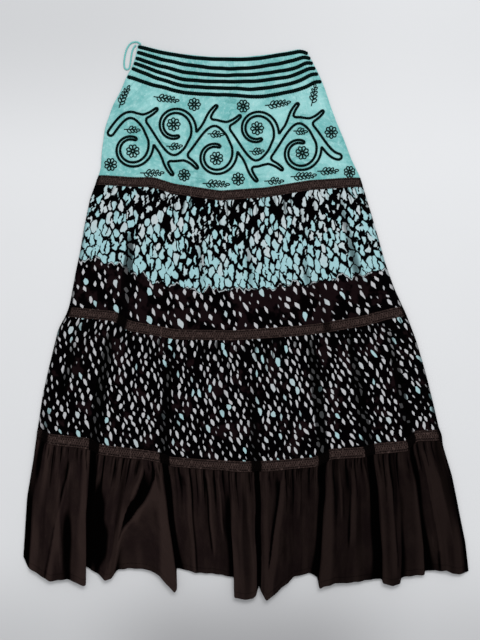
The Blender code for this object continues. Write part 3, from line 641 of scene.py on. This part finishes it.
def makeCord():
    material, tree = newMaterial("green black cord", 0.72, 0.025)
    twist = placeGroup(tree, cordTwist, Vector=readUv(tree), Pitch=0.0030)
    # painted shade in the plies' grooves and painted highlight on their crests
    colour = tint(tree, cordLook["deep"], twist["Shade"], 0.15, 0.8, cordLook["base"])
    colour = tint(tree, colour, twist["Shade"], 0.6, 0.9, cordLook["light"], 0.5)
    return finishLook(material, colour, twist["Height"])


def makeStitchThread():
    material, tree = newMaterial("embroidery thread", 0.6, 0.04)
    place = addNode(tree, "ShaderNodeTexCoord").outputs["Object"]
    fuzz = noiseOf(tree, place, 1400.0, 3.0)
    colour = tint(tree, cordLook["deep"], fuzz, 0.35, 0.7, cordLook["thread"])
    return finishLook(material, colour, product(tree, fuzz, 0.0003))


def makeLoopCord():
    material, tree = newMaterial("turquoise loop", 0.75, 0.15)
    twist = placeGroup(tree, cordTwist, Vector=readUv(tree), Pitch=0.0022)
    # painted highlight on the plies' crests
    colour = tint(tree, loopLook["base"], twist["Shade"], 0.2, 0.8, loopLook["light"])
    return finishLook(material, colour, twist["Height"], 0.8)


def makeBraidYarn():
    material, tree = newMaterial("brown crochet braid", 0.9, 0.02)
    cloth = readUv(tree)
    fuzz = noiseOf(tree, cloth, 900.0, 4.0, 0.65)
    knots = noiseOf(tree, cloth, 210.0, 2.0)
    # painted shade in the gaps between the strands, where they sink below one another
    colour = tint(tree, braidLook["deep"], readMeasure(tree, "strand"), 0.15, 0.8, braidLook["base"])
    colour = tint(tree, colour, knots, 0.52, 0.70, braidLook["light"], 0.45)
    colour = tint(tree, colour, fuzz, 0.55, 0.4, braidLook["deep"], 0.55)
    colour = shadeCreases(tree, colour, braidLook["shade"], 0.1, 0.65, 0.97)
    return finishLook(material, colour, plusShare(tree, product(tree, fuzz, 0.0006), knots, 0.0006))


def spotColour(tree, spots, ground):
    ink = tint(tree, printLook["white"], spots["Random"], 0.90, 0.96, printLook["aqua"], 0.8)
    ink = tint(tree, ink, spots["Choice"], 0.3, 0.0, printLook["dull"], 0.5)
    return mixColour(tree, spots["Mask"], ground, ink)


def brownGround(tree, cloth, much):
    # near black with patches of dark brown where the net opens
    patch = noiseOf(tree, cloth, 24.0, 3.0, 0.6)
    return tint(tree, printLook["black"], patch, 0.62 - much, 0.72 - much, printLook["brown"])


def makeNetCloth():
    material, tree, cloth, relief = newCloth("aqua net print cotton", 0.9, 0.01, 0.0007, 0.6, 2.4)
    parts = partsOf(tree, cloth)
    along = calc(tree, "DIVIDE", parts[0], panels["tier1"]["cut"][0])
    # the print changes along a scalloped border, higher up on the left
    border = remap(tree, along, 0.02, 0.36, 0.104, 0.084)
    scallop = noiseOf(tree, stretched(tree, cloth, (1.0, 0.0, 0.0)), 40.0, 1.5, 0.5)
    jag = noiseOf(tree, stretched(tree, cloth, (1.0, 0.25, 0.0)), 150.0, 2.0)
    for unevenness, height in ((scallop, 0.050), (jag, 0.009)):
        border = plusShare(tree, border, calc(tree, "SUBTRACT", unevenness, 0.5), height)
    above = calc(tree, "SUBTRACT", parts[1], border)
    near = remap(tree, above, 0.0, 0.125, 1.0, 0.0)
    net = placeGroup(tree, netPrint, Vector=cloth, RowA=(45.0, 38.0, 0), RowB=(-70.0, 22.0, 0), Wobble=0.016,
                     Line=lessShare(tree, 0.114, near, 0.046), Band=lessShare(tree, 0.21, near, 0.13),
                     Open=plusShare(tree, 0.15, near, 0.25))
    hue = plusShare(tree, net["Random"], near, 0.7)
    ink = tint(tree, printLook["grey"], hue, 0.35, 0.95, printLook["aqua"])
    ink = tint(tree, ink, relief["Tone"], 0.48, 0.66, printLook["deepAqua"], 0.45)
    kept = calc(tree, "GREATER_THAN", plusShare(tree, net["Choice"], near, 0.3), 0.08)
    upper = mixColour(tree, product(tree, net["Mask"], kept), printLook["black"], ink)
    spots = placeGroup(tree, spotPrint, Vector=cloth, RowA=(14.3, 64.3, 0), RowB=(-46.4, 35.7, 0),
                       SideA=(10.0, -18.0, 0), SideB=(13.0, 4.0, 0), Wide=2.9, Tall=6.1, Vary=0.95,
                       Keep=0.86, Wobble=0.020)
    lower = spotColour(tree, spots, brownGround(tree, cloth, 0.16))
    # a black edge and a thin pale line run along the border
    colour = tint(tree, lower, above, -0.0045, -0.0015, printLook["black"])
    fromLine = calc(tree, "ABSOLUTE", calc(tree, "ADD", above, 0.0022))
    paleLine = calc(tree, "SUBTRACT", 1.0, calc(tree, "DIVIDE", fromLine, 0.0016), clamp=True)
    broken = remap(tree, noiseOf(tree, cloth, 55.0, 2.0), 0.46, 0.54)
    colour = mixColour(tree, product(tree, paleLine, broken), colour, printLook["grey"])
    colour = tint(tree, colour, above, -0.0004, 0.0004, upper)
    colour = shadeCreases(tree, colour, printLook["black"], 0.10, 0.8, 0.85)
    return finishLook(material, colour, relief["Height"], 0.8)


def makeSpotCloth():
    material, tree, cloth, relief = newCloth("spotted print cotton", 0.9, 0.01, 0.0007, 0.7, 2.6)
    spots = placeGroup(tree, spotPrint, Vector=cloth, RowA=(14.2, 83.2, 0), RowB=(-53.8, 42.1, 0),
                       SideA=(8.3, -16.4, 0), SideB=(10.6, 2.8, 0), Wide=2.5, Tall=6.3, Vary=0.95,
                       Keep=0.97, Wobble=0.019)
    colour = spotColour(tree, spots, brownGround(tree, cloth, 0.09))
    colour = shadeCreases(tree, colour, printLook["shade"], 0.08, 0.7, 0.9)
    return finishLook(material, colour, relief["Height"], 0.9)


def makeRuffleCotton():
    material, tree, cloth, relief = newCloth("dark brown cotton", 0.92, 0.01, 0.0008, 0.8, 2.2)
    deep, light = ruffleLook["deep"], ruffleLook["light"]
    cloudy = noiseOf(tree, stretched(tree, cloth, (2.2, 1.0, 1.0)), 14.0, 4.0, 0.6)
    colour = tint(tree, ruffleLook["base"], cloudy, 0.35, 0.7, ruffleLook["warm"])
    # paler on the slubs, and a painted highlight on the raised fine wrinkles
    colour = tint(tree, colour, relief["Tone"], 0.52, 0.78, light, 0.35)
    # painted highlight on ridges that stand above the cloth beside them
    colour = tint(tree, colour, readMeasure(tree, "crease"), -0.1, -0.7, light, 0.55)
    # the cloth darkens towards the right; painted shade: dark lines fall from the gathers, and broader
    # painted shadows run on towards the hem
    parts = partsOf(tree, cloth)
    colour = tint(tree, colour, parts[0], 0.23, 0.88, deep, 0.42)
    lines = noiseOf(tree, stretched(tree, cloth, (1.0, 0.10, 1.0)), 128.0, 2.0, 0.6)
    lines = product(tree, remap(tree, lines, 0.52, 0.64), remap(tree, parts[1], 0.140, 0.208))
    uneasy = remap(tree, noiseOf(tree, cloth, 22.0, 2.0), 0.38, 0.60, 0.15, 0.8)
    colour = mixColour(tree, product(tree, lines, uneasy), colour, deep)
    shadows = noiseOf(tree, stretched(tree, cloth, (1.0, 0.08, 1.0)), 33.0, 2.0, 0.55)
    fading = remap(tree, parts[1], 0.03, 0.15, 0.35, 1.0)
    shadows = product(tree, remap(tree, shadows, 0.55, 0.66, 0.0, 0.6), fading)
    colour = mixColour(tree, shadows, colour, deep)
    colour = shadeCreases(tree, colour, deep, 0.06, 0.55, 0.97)
    # a turned hem, sewn about ten millimetres up
    fromSeam = calc(tree, "ABSOLUTE", calc(tree, "SUBTRACT", parts[1], 0.010))
    beat = calc(tree, "SINE", product(tree, parts[0], 2400.0))
    stitch = product(tree, remap(tree, fromSeam, 0.0012, 0.0), plusShare(tree, 0.6, beat, 0.4))
    colour = mixColour(tree, product(tree, stitch, 0.5), colour, deep)
    return finishLook(material, colour, lessShare(tree, relief["Height"], stitch, 0.0006))


looks = {
    "yoke": makeYokeCotton(), "tier1": makeNetCloth(), "tier2": makeSpotCloth(), "ruffle": makeRuffleCotton(),
    "cord": makeCord(), "thread": makeStitchThread(), "loop": makeLoopCord(), "braid": makeBraidYarn(),
}
print("materials made")


# the camera, and the hanger loop as the one free cord
view = {"place": (-0.0108, 0.0034, 2.0), "lens": 62.5, "sensor": 36.0}
bpy.ops.object.camera_add(location=view["place"], rotation=(0, 0, 0))
camera = bpy.context.object
camera.data.lens = view["lens"]
camera.data.sensor_width = view["sensor"]
bpy.context.scene.camera = camera
bpy.context.scene.view_settings.view_transform = "Standard"


def resample(points, step, closed=False):
    # the same line with points a step apart, and how far along each one lies
    line = np.vstack([points, points[:1]]) if closed else points
    lengths = np.linalg.norm(np.diff(line, axis=0), axis=1)
    along = np.concatenate([[0.0], np.cumsum(lengths)])
    places = np.linspace(0, along[-1], max(4, round(along[-1] / step)) + 1)
    return np.stack([np.interp(places, along, line[:, k]) for k in range(line.shape[1])], axis=1), places


def smoothRoute(points, steps):
    points = np.array(points, float)
    ends = np.vstack([points[:1], points, points[-1:]])
    route = []
    for index in range(1, len(ends) - 2):
        a, b, c, d = ends[index - 1:index + 3]
        for step in range(steps):
            t = step / steps
            route.append(0.5 * (2 * b + (c - a) * t + (2 * a - 5 * b + 4 * c - d) * t * t
                                + (3 * b - a - 3 * c + d) * t ** 3))
    return np.array(route + [points[-1]])


cordGirth = 0.011  # of every cord's UV map, in metres


def sweepCord(name, centre, half, twist, knob, closed=False, sides=10, step=1.1):
    # a cord of oval section along points in millimetres, knobbly from its plies
    route, along = resample(centre, step, closed)
    if closed:
        ahead = np.vstack([route[1:], route[1:2]]) - np.vstack([route[-2:-1], route[:-1]])
    else:
        ahead = np.gradient(route, axis=0)
    side = np.stack([ahead[:, 1], -ahead[:, 0], 0 * ahead[:, 0]], axis=1)
    side /= np.linalg.norm(side, axis=1)[:, None]
    taper = np.ones(len(route))
    if not closed:
        reach = np.minimum(along, along[-1] - along) / half[0]
        taper = np.sqrt(np.clip(1 - np.clip(1 - reach, 0, 1) ** 2, 0, 1))
    points = np.zeros((sides + 1, len(route), 3))
    for row in range(sides + 1):
        angle = math.tau * row / sides
        swell = (1 + knob * np.sin(math.tau * along / twist + 2 * angle)) * taper
        if closed:
            swell[-1] = swell[0]
        points[row] = route + side * (math.cos(angle) * half[0] * swell)[:, None]
        points[row, :, 2] += math.sin(angle) * half[1] * swell
    piece = newGrid(name, len(route) - 1, sides)
    shapeGrid(piece, points, (along[-1] * 0.001, cordGirth))
    closeMesh(piece)
    smoothShade(piece, 60)
    return piece


hangerLoop = {
    "thick": 2.8, "height": 1.5,
    "route": ((-188.8, 496.4), (-193.8, 500.2), (-199.5, 501), (-206.5, 499), (-212, 493),
              (-215.6, 485), (-217.8, 476), (-219, 467), (-219.2, 459), (-217.8, 453.8),
              (-214, 451.6), (-210.2, 453.8), (-208.6, 459), (-207.4, 467), (-206.2, 476),
              (-204.4, 485), (-201.4, 491.6), (-197.6, 495.6)),
}
loopLine = smoothRoute(hangerLoop["route"], 5)
loopLine = np.column_stack([loopLine, np.full(len(loopLine), hangerLoop["height"])])
loopPiece = sweepCord("hangerLoop", loopLine, (hangerLoop["thick"] / 2,) * 2, 2.4, 0.06, step=0.9)
finishPiece(loopPiece, looks["loop"], ["hanger_loop"])


# the front's cloth
frontCloth = {"thick": 1.0, "fineReach": 3.2, "fineDepth": 0.42, "spread": 3.0, "spreadShare": 0.9}


def makeFront(panel, facts):
    columns, rows = facts["grid"]
    u, v = np.meshgrid(np.linspace(0, 1, columns + 1), np.linspace(1, 0, rows + 1))
    x, y, z = outerFace(panel, u, v)
    spacing = (x[:, -1] - x[:, 0]).mean() / columns
    reach, depth, fineShare = facts["creases"]
    # the crease measure guides painted shade in the creases and, on the ruffle, painted highlight on ridges;
    # the listed ruffle patches add painted shade, or painted light where negative
    fine = fineShare * creaseDepth(z, spacing, frontCloth["fineReach"], frontCloth["fineDepth"])
    broad = creaseDepth(z, spacing, reach, depth)
    crease = np.where(np.abs(broad) > np.abs(fine), broad, fine)
    if panel == "ruffle":
        for middleX, middleY, halfX, halfY, more in ruffleShades:
            crease = crease + more * np.exp(-((x - middleX) / halfX) ** 4 - ((y - middleY) / halfY) ** 4)
    else:
        wider = spreadOut(broad, spacing, frontCloth["spread"])
        crease = np.maximum(crease, frontCloth["spreadShare"] * wider)
    return makeSheet(panel + "Front", (x, y, z), facts["cut"], frontCloth["thick"], 60, looks[panel],
                     facts["slot"], facts["node"] + "_front", crease=crease)


frontPieces = {}
for panel, facts in panels.items():
    frontPieces[panel] = makeFront(panel, facts)
    print(panel, "front made")


# crochet braid over the front's seams
braid = {
    "half": 9.0, "thick": 1.5, "gap": 0.3, "wall": 0.7, "step": 0.95, "rows": 24,
    # strands and beads: places and half widths across are shares of the braid's half
    "pitch": 13.0, "swing": 0.50, "strand": 0.27, "beadPitch": 3.1, "beadAt": 0.88, "bead": 0.15,
}


def braidStrands(along, across):
    # height from 0 to 1 of three strands that cross, between two beaded edges
    height = np.zeros(along.shape)
    for number in range(3):
        turn = math.tau * (along / braid["pitch"] + number / 3)
        middle = braid["swing"] * np.sin(turn)
        near = np.clip(1 - ((across - middle) / braid["strand"]) ** 2, 0, 1)
        height = np.maximum(height, np.sqrt(near) * (0.72 + 0.22 * np.cos(2 * turn)))
    beads = 0.6 + 0.25 * np.sin(math.tau * along / braid["beadPitch"])
    edge = np.clip(1 - ((np.abs(across) - braid["beadAt"]) / braid["bead"]) ** 2, 0, 1)
    return np.maximum(height, np.sqrt(edge) * beads)


def addBraid(number, above, below):
    first, last = (seamLine(panels[below]["seams"][0], np.array(end))[0] for end in (0.0, 1.0))
    columns = round((last - first) / braid["step"])
    u, t = np.meshgrid(np.linspace(0, 1, columns + 1), np.linspace(1, -1, braid["rows"] + 1))
    up = 1 + np.minimum(t, 0) * braid["half"] / panels[above]["height"]
    down = np.maximum(t, 0) * braid["half"] / panels[below]["height"]
    upper, lower = outerFace(above, u, up), outerFace(below, u, down)
    x, y, z = (np.where(t < 0, a, b) for a, b in zip(upper, lower))
    along = u * (last - first)
    strands = braidStrands(along, t)
    scallop = 0.5 * np.sin(math.tau * along / braid["beadPitch"])
    y = y + scallop * np.clip(np.abs(t) * 4 - 3, 0, 1) * np.sign(t)
    crease = spreadOut(creaseDepth(z, braid["step"], 12.0, 1.5), braid["step"], 3.0)
    z = z + braid["gap"] + braid["thick"] * (0.35 + 0.85 * strands)
    makeSheet(f"braid{number}Front", (x, y, z), ((last - first) * 0.001, 0.018), braid["wall"], 70,
              looks["braid"], "brown_braid", f"braid_{number}_front", crease=crease, strand=strands)


for number, (above, below) in enumerate(zip(list(panels), list(panels)[1:]), 1):
    addBraid(number, above, below)
print("front braids made")


# cords laid on the yoke
def yokeRest(x, y):
    # height of the yoke's cloth under points of the plan, in millimetres
    heights = []
    for place in toMetres(np.column_stack([x, y, np.zeros(len(x))])):
        hit, touch, _, _ = frontPieces["yoke"].ray_cast((place[0], place[1], 0.1), (0, 0, -1))
        heights.append(touch.z * 1000 if hit else np.nan)
    heights = np.array(heights)
    known = ~np.isnan(heights)
    return np.interp(np.arange(len(heights)), np.flatnonzero(known), heights[known])


waistCord = {"half": 3.4, "thick": 1.3, "lift": 0.8}
for number, shares in enumerate(waistCordShares, 1):
    u = np.linspace(0.002, 0.998, 160)
    v = softRead(np.array(waistCordPlaces), np.array(shares), u, 0.06)
    x, y, z = outerFace("yoke", u, v + 0.0016 * ripple(u * 300, 0 * u, 9.0, number))
    line = np.stack([x, y, z + waistCord["lift"]], axis=1)
    piece = sweepCord(f"waistCord{number}", line, (waistCord["half"], waistCord["thick"]), 4.2, 0.10,
                      sides=12, step=1.0)
    finishPiece(piece, looks["cord"], [f"waist_cord_{number}"])

stemCord = {"half": 2.3, "thick": 1.1, "lift": 0.75}
vine = {
    "ends": (-243.0, 168.0), "crestX": -206.0, "wave": 150.0, "swing": 36.0, "half": 5.5, "halfWaves": 5,
    "level": np.array(((-243.0, 336.0), (-137.0, 328.0), (-62.0, 319.0), (13.0, 317.0),
                       (88.0, 323.0), (168.0, 330.0))),
    "forkReach": 24.0, "forkGap": 3.6, "step": 2.0, "cordStep": 1.5, "rounding": 4,
}
# after: how far past its crest a shoot leaves the vine; lean and bend in degrees
curlShoot = {"after": 30.0, "lean": 12.0, "length": 166.0, "bend": 318.0, "tightens": 1.45, "root": 4.8,
             "tip": 2.6}
earlyLeaf = {"after": -16.0, "lean": 44.0, "length": 42.0, "bend": -42.0, "tightens": 1.0, "root": 4.6,
             "tip": 2.5}
lateLeaf = {"after": 12.0, "lean": 44.0, "length": 38.0, "bend": 40.0, "tightens": 1.0, "root": 4.6,
            "tip": 2.5}


def vinePoint(x):
    wave = np.cos(math.tau * (x - vine["crestX"]) / vine["wave"])
    level = np.interp(x, vine["level"][:, 0], vine["level"][:, 1])
    return np.stack([x, level + vine["swing"] * wave], axis=-1)


def shootMiddle(facts, crestX, side):
    # points along a shoot from the middle of the vine to its tip
    x = crestX + facts["after"]
    ahead = vinePoint(x + 0.5) - vinePoint(x - 0.5)
    heading = math.atan2(ahead[1], ahead[0]) + side * math.radians(facts["lean"])
    steps = round(facts["length"] / vine["step"])
    share = ((np.arange(steps) + 0.5) / steps) ** facts["tightens"]
    turn = heading + side * math.radians(facts["bend"]) * share
    moves = np.stack([np.cos(turn), np.sin(turn)], axis=1) * facts["length"] / steps
    return vinePoint(x) + np.vstack([np.zeros((1, 2)), np.cumsum(moves, axis=0)])


def stemSides(middle, rootHalf, tipHalf):
    # left edge, right edge and a rounded tip
    ahead = np.gradient(middle, axis=0)
    ahead = ahead / np.linalg.norm(ahead, axis=1)[:, None]
    out = np.stack([-ahead[:, 1], ahead[:, 0]], axis=1)
    half = np.linspace(rootHalf, tipHalf, len(middle))[:, None]
    turn = np.radians(np.linspace(60, -60, 7))[:, None]
    tip = middle[-1] + tipHalf * (np.cos(turn) * ahead[-1] + np.sin(turn) * out[-1])
    return middle + out * half, middle - out * half, tip


def nearness(points, line):
    return np.linalg.norm(points[:, None] - line[None], axis=2).min(axis=1)


def shootEdge(facts, middle, side, vineMiddle):
    left, right, tip = stemSides(middle, facts["root"], facts["tip"])
    reach = vine["forkReach"] / facts["length"] * (len(middle) - 1)
    kept = []
    for edge in (left, right):
        clear = nearness(edge, vineMiddle) > vine["half"] + vine["forkGap"]
        kept.append(edge[clear | (np.arange(len(edge)) > reach)])
    if side > 0:
        return np.vstack([kept[0], tip, kept[1][::-1]])
    return np.vstack([kept[1], tip[::-1], kept[0][::-1]])


def edgeWithShoots(edge, side, vineMiddle):
    # one edge of the vine, running round each shoot that leaves it
    shoots = []
    for number in range(vine["halfWaves"]):
        crestX = vine["crestX"] + number * vine["wave"] / 2
        inner = 1 if number % 2 else -1
        kinds = (curlShoot,)
        if side != inner:
            kinds = (earlyLeaf, lateLeaf) if number else (lateLeaf,)
        shoots += [(facts, shootMiddle(facts, crestX, side)) for facts in kinds]
    beside = np.full(len(edge), -1)
    for number, (facts, middle) in enumerate(shoots):
        root = middle[:round(vine["forkReach"] / vine["step"]) + 2]
        beside[nearness(edge, root) < facts["root"] + vine["forkGap"]] = number
    route, placed = [], set()
    for index, point in enumerate(edge):
        number = beside[index]
        if number < 0:
            route.append(point[None])
        elif number not in placed:
            placed.add(number)
            route.append(shootEdge(*shoots[number], side, vineMiddle))
    return np.vstack(route)


vineMiddle = vinePoint(np.arange(vine["ends"][0], vine["ends"][1] + 0.1, 0.8 * vine["step"]))
vineLeft, vineRight, vineTip = stemSides(vineMiddle, vine["half"], vine["half"])
vineRoot = stemSides(vineMiddle[::-1], vine["half"], vine["half"])[2]
scroll = np.vstack([edgeWithShoots(vineLeft, 1, vineMiddle), vineTip,
                    edgeWithShoots(vineRight, -1, vineMiddle)[::-1], vineRoot])
scroll = resample(scroll, vine["cordStep"], True)[0][:-1]
for _ in range(vine["rounding"]):  # the cord rounds the forks
    scroll = (np.roll(scroll, 1, axis=0) + 2 * scroll + np.roll(scroll, -1, axis=0)) / 4
z = yokeRest(scroll[:, 0], scroll[:, 1]) + stemCord["lift"]
piece = sweepCord("yokeVine", np.column_stack([scroll, z]), (stemCord["half"], stemCord["thick"]), 3.2, 0.11,
                  closed=True, sides=9)
finishPiece(piece, looks["cord"], ["yoke_vine"])
print("yoke cords made")


# embroidery on the yoke
sprigs = {
    "thread": 1.0, "leafLong": 10.0, "leafWide": 2.7, "pairStep": 7.4, "lean": 0.80, "shrinks": 0.35,
    "lastLeaf": 0.7,
    "rows": (
        # root x, root y, way in degrees, length, bend in degrees
        (-228, 382, 74, 34, -16), (-166, 402, -8, 36, -2),
        (34, 386, 6, 36, 4), (117, 385, 74, 30, 10),
        (-190, 265, -2, 32, 4), (-78, 246, 0, 38, -4),
        (33, 250, 4, 24, -6), (80, 258, 2, 36, 4),
        (128, 268, 0, 28, 4), (-219, 343, 2, 19, -8),
        (-143, 313, -4, 19, 8), (-69, 335, 2, 19, -8),
        (6, 304, -4, 17, 8), (85, 340, 2, 16, -8),
    ),
}
daisies = {
    "thread": 1.15, "outer": 11.2, "inner": 3.6, "petalHalf": 3.2, "petals": 8, "turn": 0.4,
    "heart": 4.4, "heartHalf": 2.1,
    "places": (
        # x, y, size
        (-93, 388, 1), (-5, 385, 1), (153, 338, 1), (-243, 280, 1),
        (-14, 254, 1), (186, 267, 0.9), (-111, 261, 0.95), (-203, 304, 1.05),
        (-130, 352, 1.05), (-53, 291, 1.05), (20, 345, 1.05), (101, 301, 1.05),
    ),
}
threadLift = 0.3  # from the cloth to the middle of a thread


def threadLoops(name, loops, thick):
    # closed or open lines of thread lying on the yoke, as one mesh
    curve = bpy.data.curves.new(name, "CURVE")
    curve.dimensions = "3D"
    curve.bevel_depth = thick * 0.001
    curve.bevel_resolution = 1
    curve.use_fill_caps = True
    for line, closed in loops:
        z = yokeRest(line[:, 0], line[:, 1]) + threadLift
        places = toMetres(np.column_stack([line, z]))
        spline = curve.splines.new("POLY")
        spline.points.add(len(places) - 1)
        spline.points.foreach_set("co", np.column_stack([places, np.ones(len(places))]).ravel())
        spline.use_cyclic_u = closed
    piece = bpy.data.objects.new(name, curve)
    bpy.context.scene.collection.objects.link(piece)
    selectOnly(piece)
    bpy.ops.object.convert(target="MESH")
    piece = bpy.context.object
    smoothShade(piece, 70)
    finishPiece(piece, looks["thread"])


def leafLoop(x, y, way, length, half, count=12):
    share = np.linspace(0, math.tau, count, endpoint=False)
    ahead = length * (0.5 - 0.5 * np.cos(share))
    beside = half * np.sin(share) * (1.15 - 0.3 * ahead / length)
    return np.stack([x + ahead * math.cos(way) - beside * math.sin(way),
                     y + ahead * math.sin(way) + beside * math.cos(way)], axis=1)


def sprigLoops(x, y, way, length, bend):
    loops, stem = [], []
    count = 2 * max(3, round(length / sprigs["pairStep"]))
    for step in range(count + 1):
        turn = math.radians(way + bend * step / count)
        stem.append((x, y))
        if step > 1:
            size = 1.0 - sprigs["shrinks"] * step / count
            side = 1 if step % 2 else -1
            loops.append((leafLoop(x, y, turn + side * sprigs["lean"], sprigs["leafLong"] * size,
                                   sprigs["leafWide"] * size), True))
        x += length / count * math.cos(turn)
        y += length / count * math.sin(turn)
    size = sprigs["lastLeaf"]
    loops.append((leafLoop(x, y, turn, sprigs["leafLong"] * size, sprigs["leafWide"] * size), True))
    return loops + [(np.array(stem), False)]


def daisyLoops(x, y, number, size):
    heart, heartHalf = daisies["heart"] * size, daisies["heartHalf"] * size
    loops = [(leafLoop(x - heart / 2, y, 0.0, heart, heartHalf), True)]
    for petal in range(daisies["petals"]):
        way = math.tau * petal / daisies["petals"] + number * daisies["turn"]
        loops.append((leafLoop(x + size * daisies["inner"] * math.cos(way),
                               y + size * daisies["inner"] * math.sin(way), way,
                               size * (daisies["outer"] - daisies["inner"]),
                               size * daisies["petalHalf"]), True))
    return loops


threadLoops("yokeSprigs", [loop for row in sprigs["rows"] for loop in sprigLoops(*row)], sprigs["thread"])
threadLoops("yokeDaisies", [loop for number, (x, y, size) in enumerate(daisies["places"])
                            for loop in daisyLoops(x, y, number, size)], daisies["thread"])
print("embroidery made")


# the back, flat on the floor
backCloth = {"thick": 1.3, "inset": 2.0, "gap": 0.3, "columns": 90, "rows": 24}


def backEdge(table, shift):
    return np.column_stack([table[:, 0], table[:, 1] + shift])


def addBack(name, top, low, uvSize, material, slot, node):
    # a flat panel between two edges, following the skirt's sides
    v, u = np.meshgrid(np.linspace(1, 0, backCloth["rows"] + 1), np.linspace(0, 1, backCloth["columns"] + 1),
                       indexing="ij")
    x = top[0, 0] + (top[-1, 0] - top[0, 0]) * u
    for _ in range(4):  # the sides depend on y, and y on where the sides are
        y = np.interp(x, top[:, 0], top[:, 1]) * (1 - v) + np.interp(x, low[:, 0], low[:, 1]) * v
        left = np.interp(y[:, :1], leftSide[:, 0], leftSide[:, 1]) + backCloth["inset"]
        right = np.interp(y[:, -1:], rightSide[:, 0], rightSide[:, 1]) - backCloth["inset"]
        x = left + (right - left) * u
    z = np.full(x.shape, backCloth["thick"])
    return makeSheet(name, (x, y, z), uvSize, backCloth["thick"], 40, material, slot, node,
                     crease=0 * z, strand=0.5 + 0.5 * np.sin(x) * np.sin(y))


def backCutOf(panel):
    return panels[panel].get("backCut", panels[panel]["cut"])


top = backEdge(seamTables["waist"], -1.0)
covered = braid["half"] - backCloth["gap"]
for number, (panel, facts) in enumerate(panels.items(), 1):
    seam = seamTables.get(facts["seams"][1])
    low = backHemTable if seam is None else backEdge(seam, braid["half"])
    addBack(panel + "Back", top, low, backCutOf(panel), looks[panel], facts["slot"],
                                facts["node"] + "_back")
    if seam is not None:
        addBack(f"braid{number}Back", backEdge(seam, covered), backEdge(seam, -covered),
                ((seam[-1, 0] - seam[0, 0]) * 0.001, 0.018), looks["braid"], "brown_braid",
                f"braid_{number}_back")
        top = backEdge(seam, -braid["half"])
print("back made")


# floor and light
# the far and dim colours are painted shade on the floor, towards the back and below the hem
room = {
    "near": (226, 227, 229), "grain": (228, 229, 231), "far": (206, 207, 209), "dim": (172, 172, 174),
    "sky": (0.98, 0.99, 1.0, 1.0), "skyStrength": 0.58, "size": 8, "below": 0.0003,
}
lampFacts = {"place": (0.25, 1.15, 2.3), "turn": (-26, 6, 0), "size": (1.6, 0.9), "energy": 34.0}


def makeFloorLook():
    material, tree = newMaterial("pale floor", 0.9)
    place = addNode(tree, "ShaderNodeTexCoord").outputs["Object"]
    beside, ahead = partsOf(tree, place)[:2]
    farBeside, farAhead = (calc(tree, "ABSOLUTE", value) for value in (beside, ahead))
    colour = mixColour(tree, noiseOf(tree, place, 5.0, 3.0), room["near"], room["grain"])
    # painted shade: the floor darkens towards the back on the left, and a painted shadow lies below the hem;
    # both shaded places end where the view does, so the rest of the floor is plain
    nearby = remap(tree, calc(tree, "MAXIMUM", farBeside, farAhead), 1.5, 0.65)
    fade = product(tree, remap(tree, beside, -0.3, 0.35, 1.0, 0.4), nearby)
    back = product(tree, remap(tree, ahead, 0.25, 0.55), fade)
    colour = mixColour(tree, back, colour, room["far"])
    middle = product(tree, remap(tree, farBeside, 0.34, 0.10, 0.46, 1.0), nearby)
    low = product(tree, remap(tree, ahead, -0.38, -0.60), middle)
    return finishLook(material, mixColour(tree, low, colour, room["dim"]))


bpy.ops.object.select_all(action="DESELECT")
bpy.ops.mesh.primitive_plane_add(size=room["size"], location=(0, 0, -room["below"]))
floor = bpy.context.object
floor.name = "floor"
floor.data.materials.append(makeFloorLook())

world = bpy.context.scene.world or bpy.data.worlds.new("room")
bpy.context.scene.world = world
world.use_nodes = True
sky = world.node_tree.nodes["Background"].inputs
sky["Color"].default_value = room["sky"]
sky["Strength"].default_value = room["skyStrength"]
bpy.ops.object.light_add(type="AREA", location=lampFacts["place"],
                         rotation=[math.radians(turn) for turn in lampFacts["turn"]])
lamp = bpy.context.object
lamp.data.shape = "RECTANGLE"
lamp.data.size, lamp.data.size_y = lampFacts["size"]
lamp.data.energy = lampFacts["energy"]
print("floor and light made")
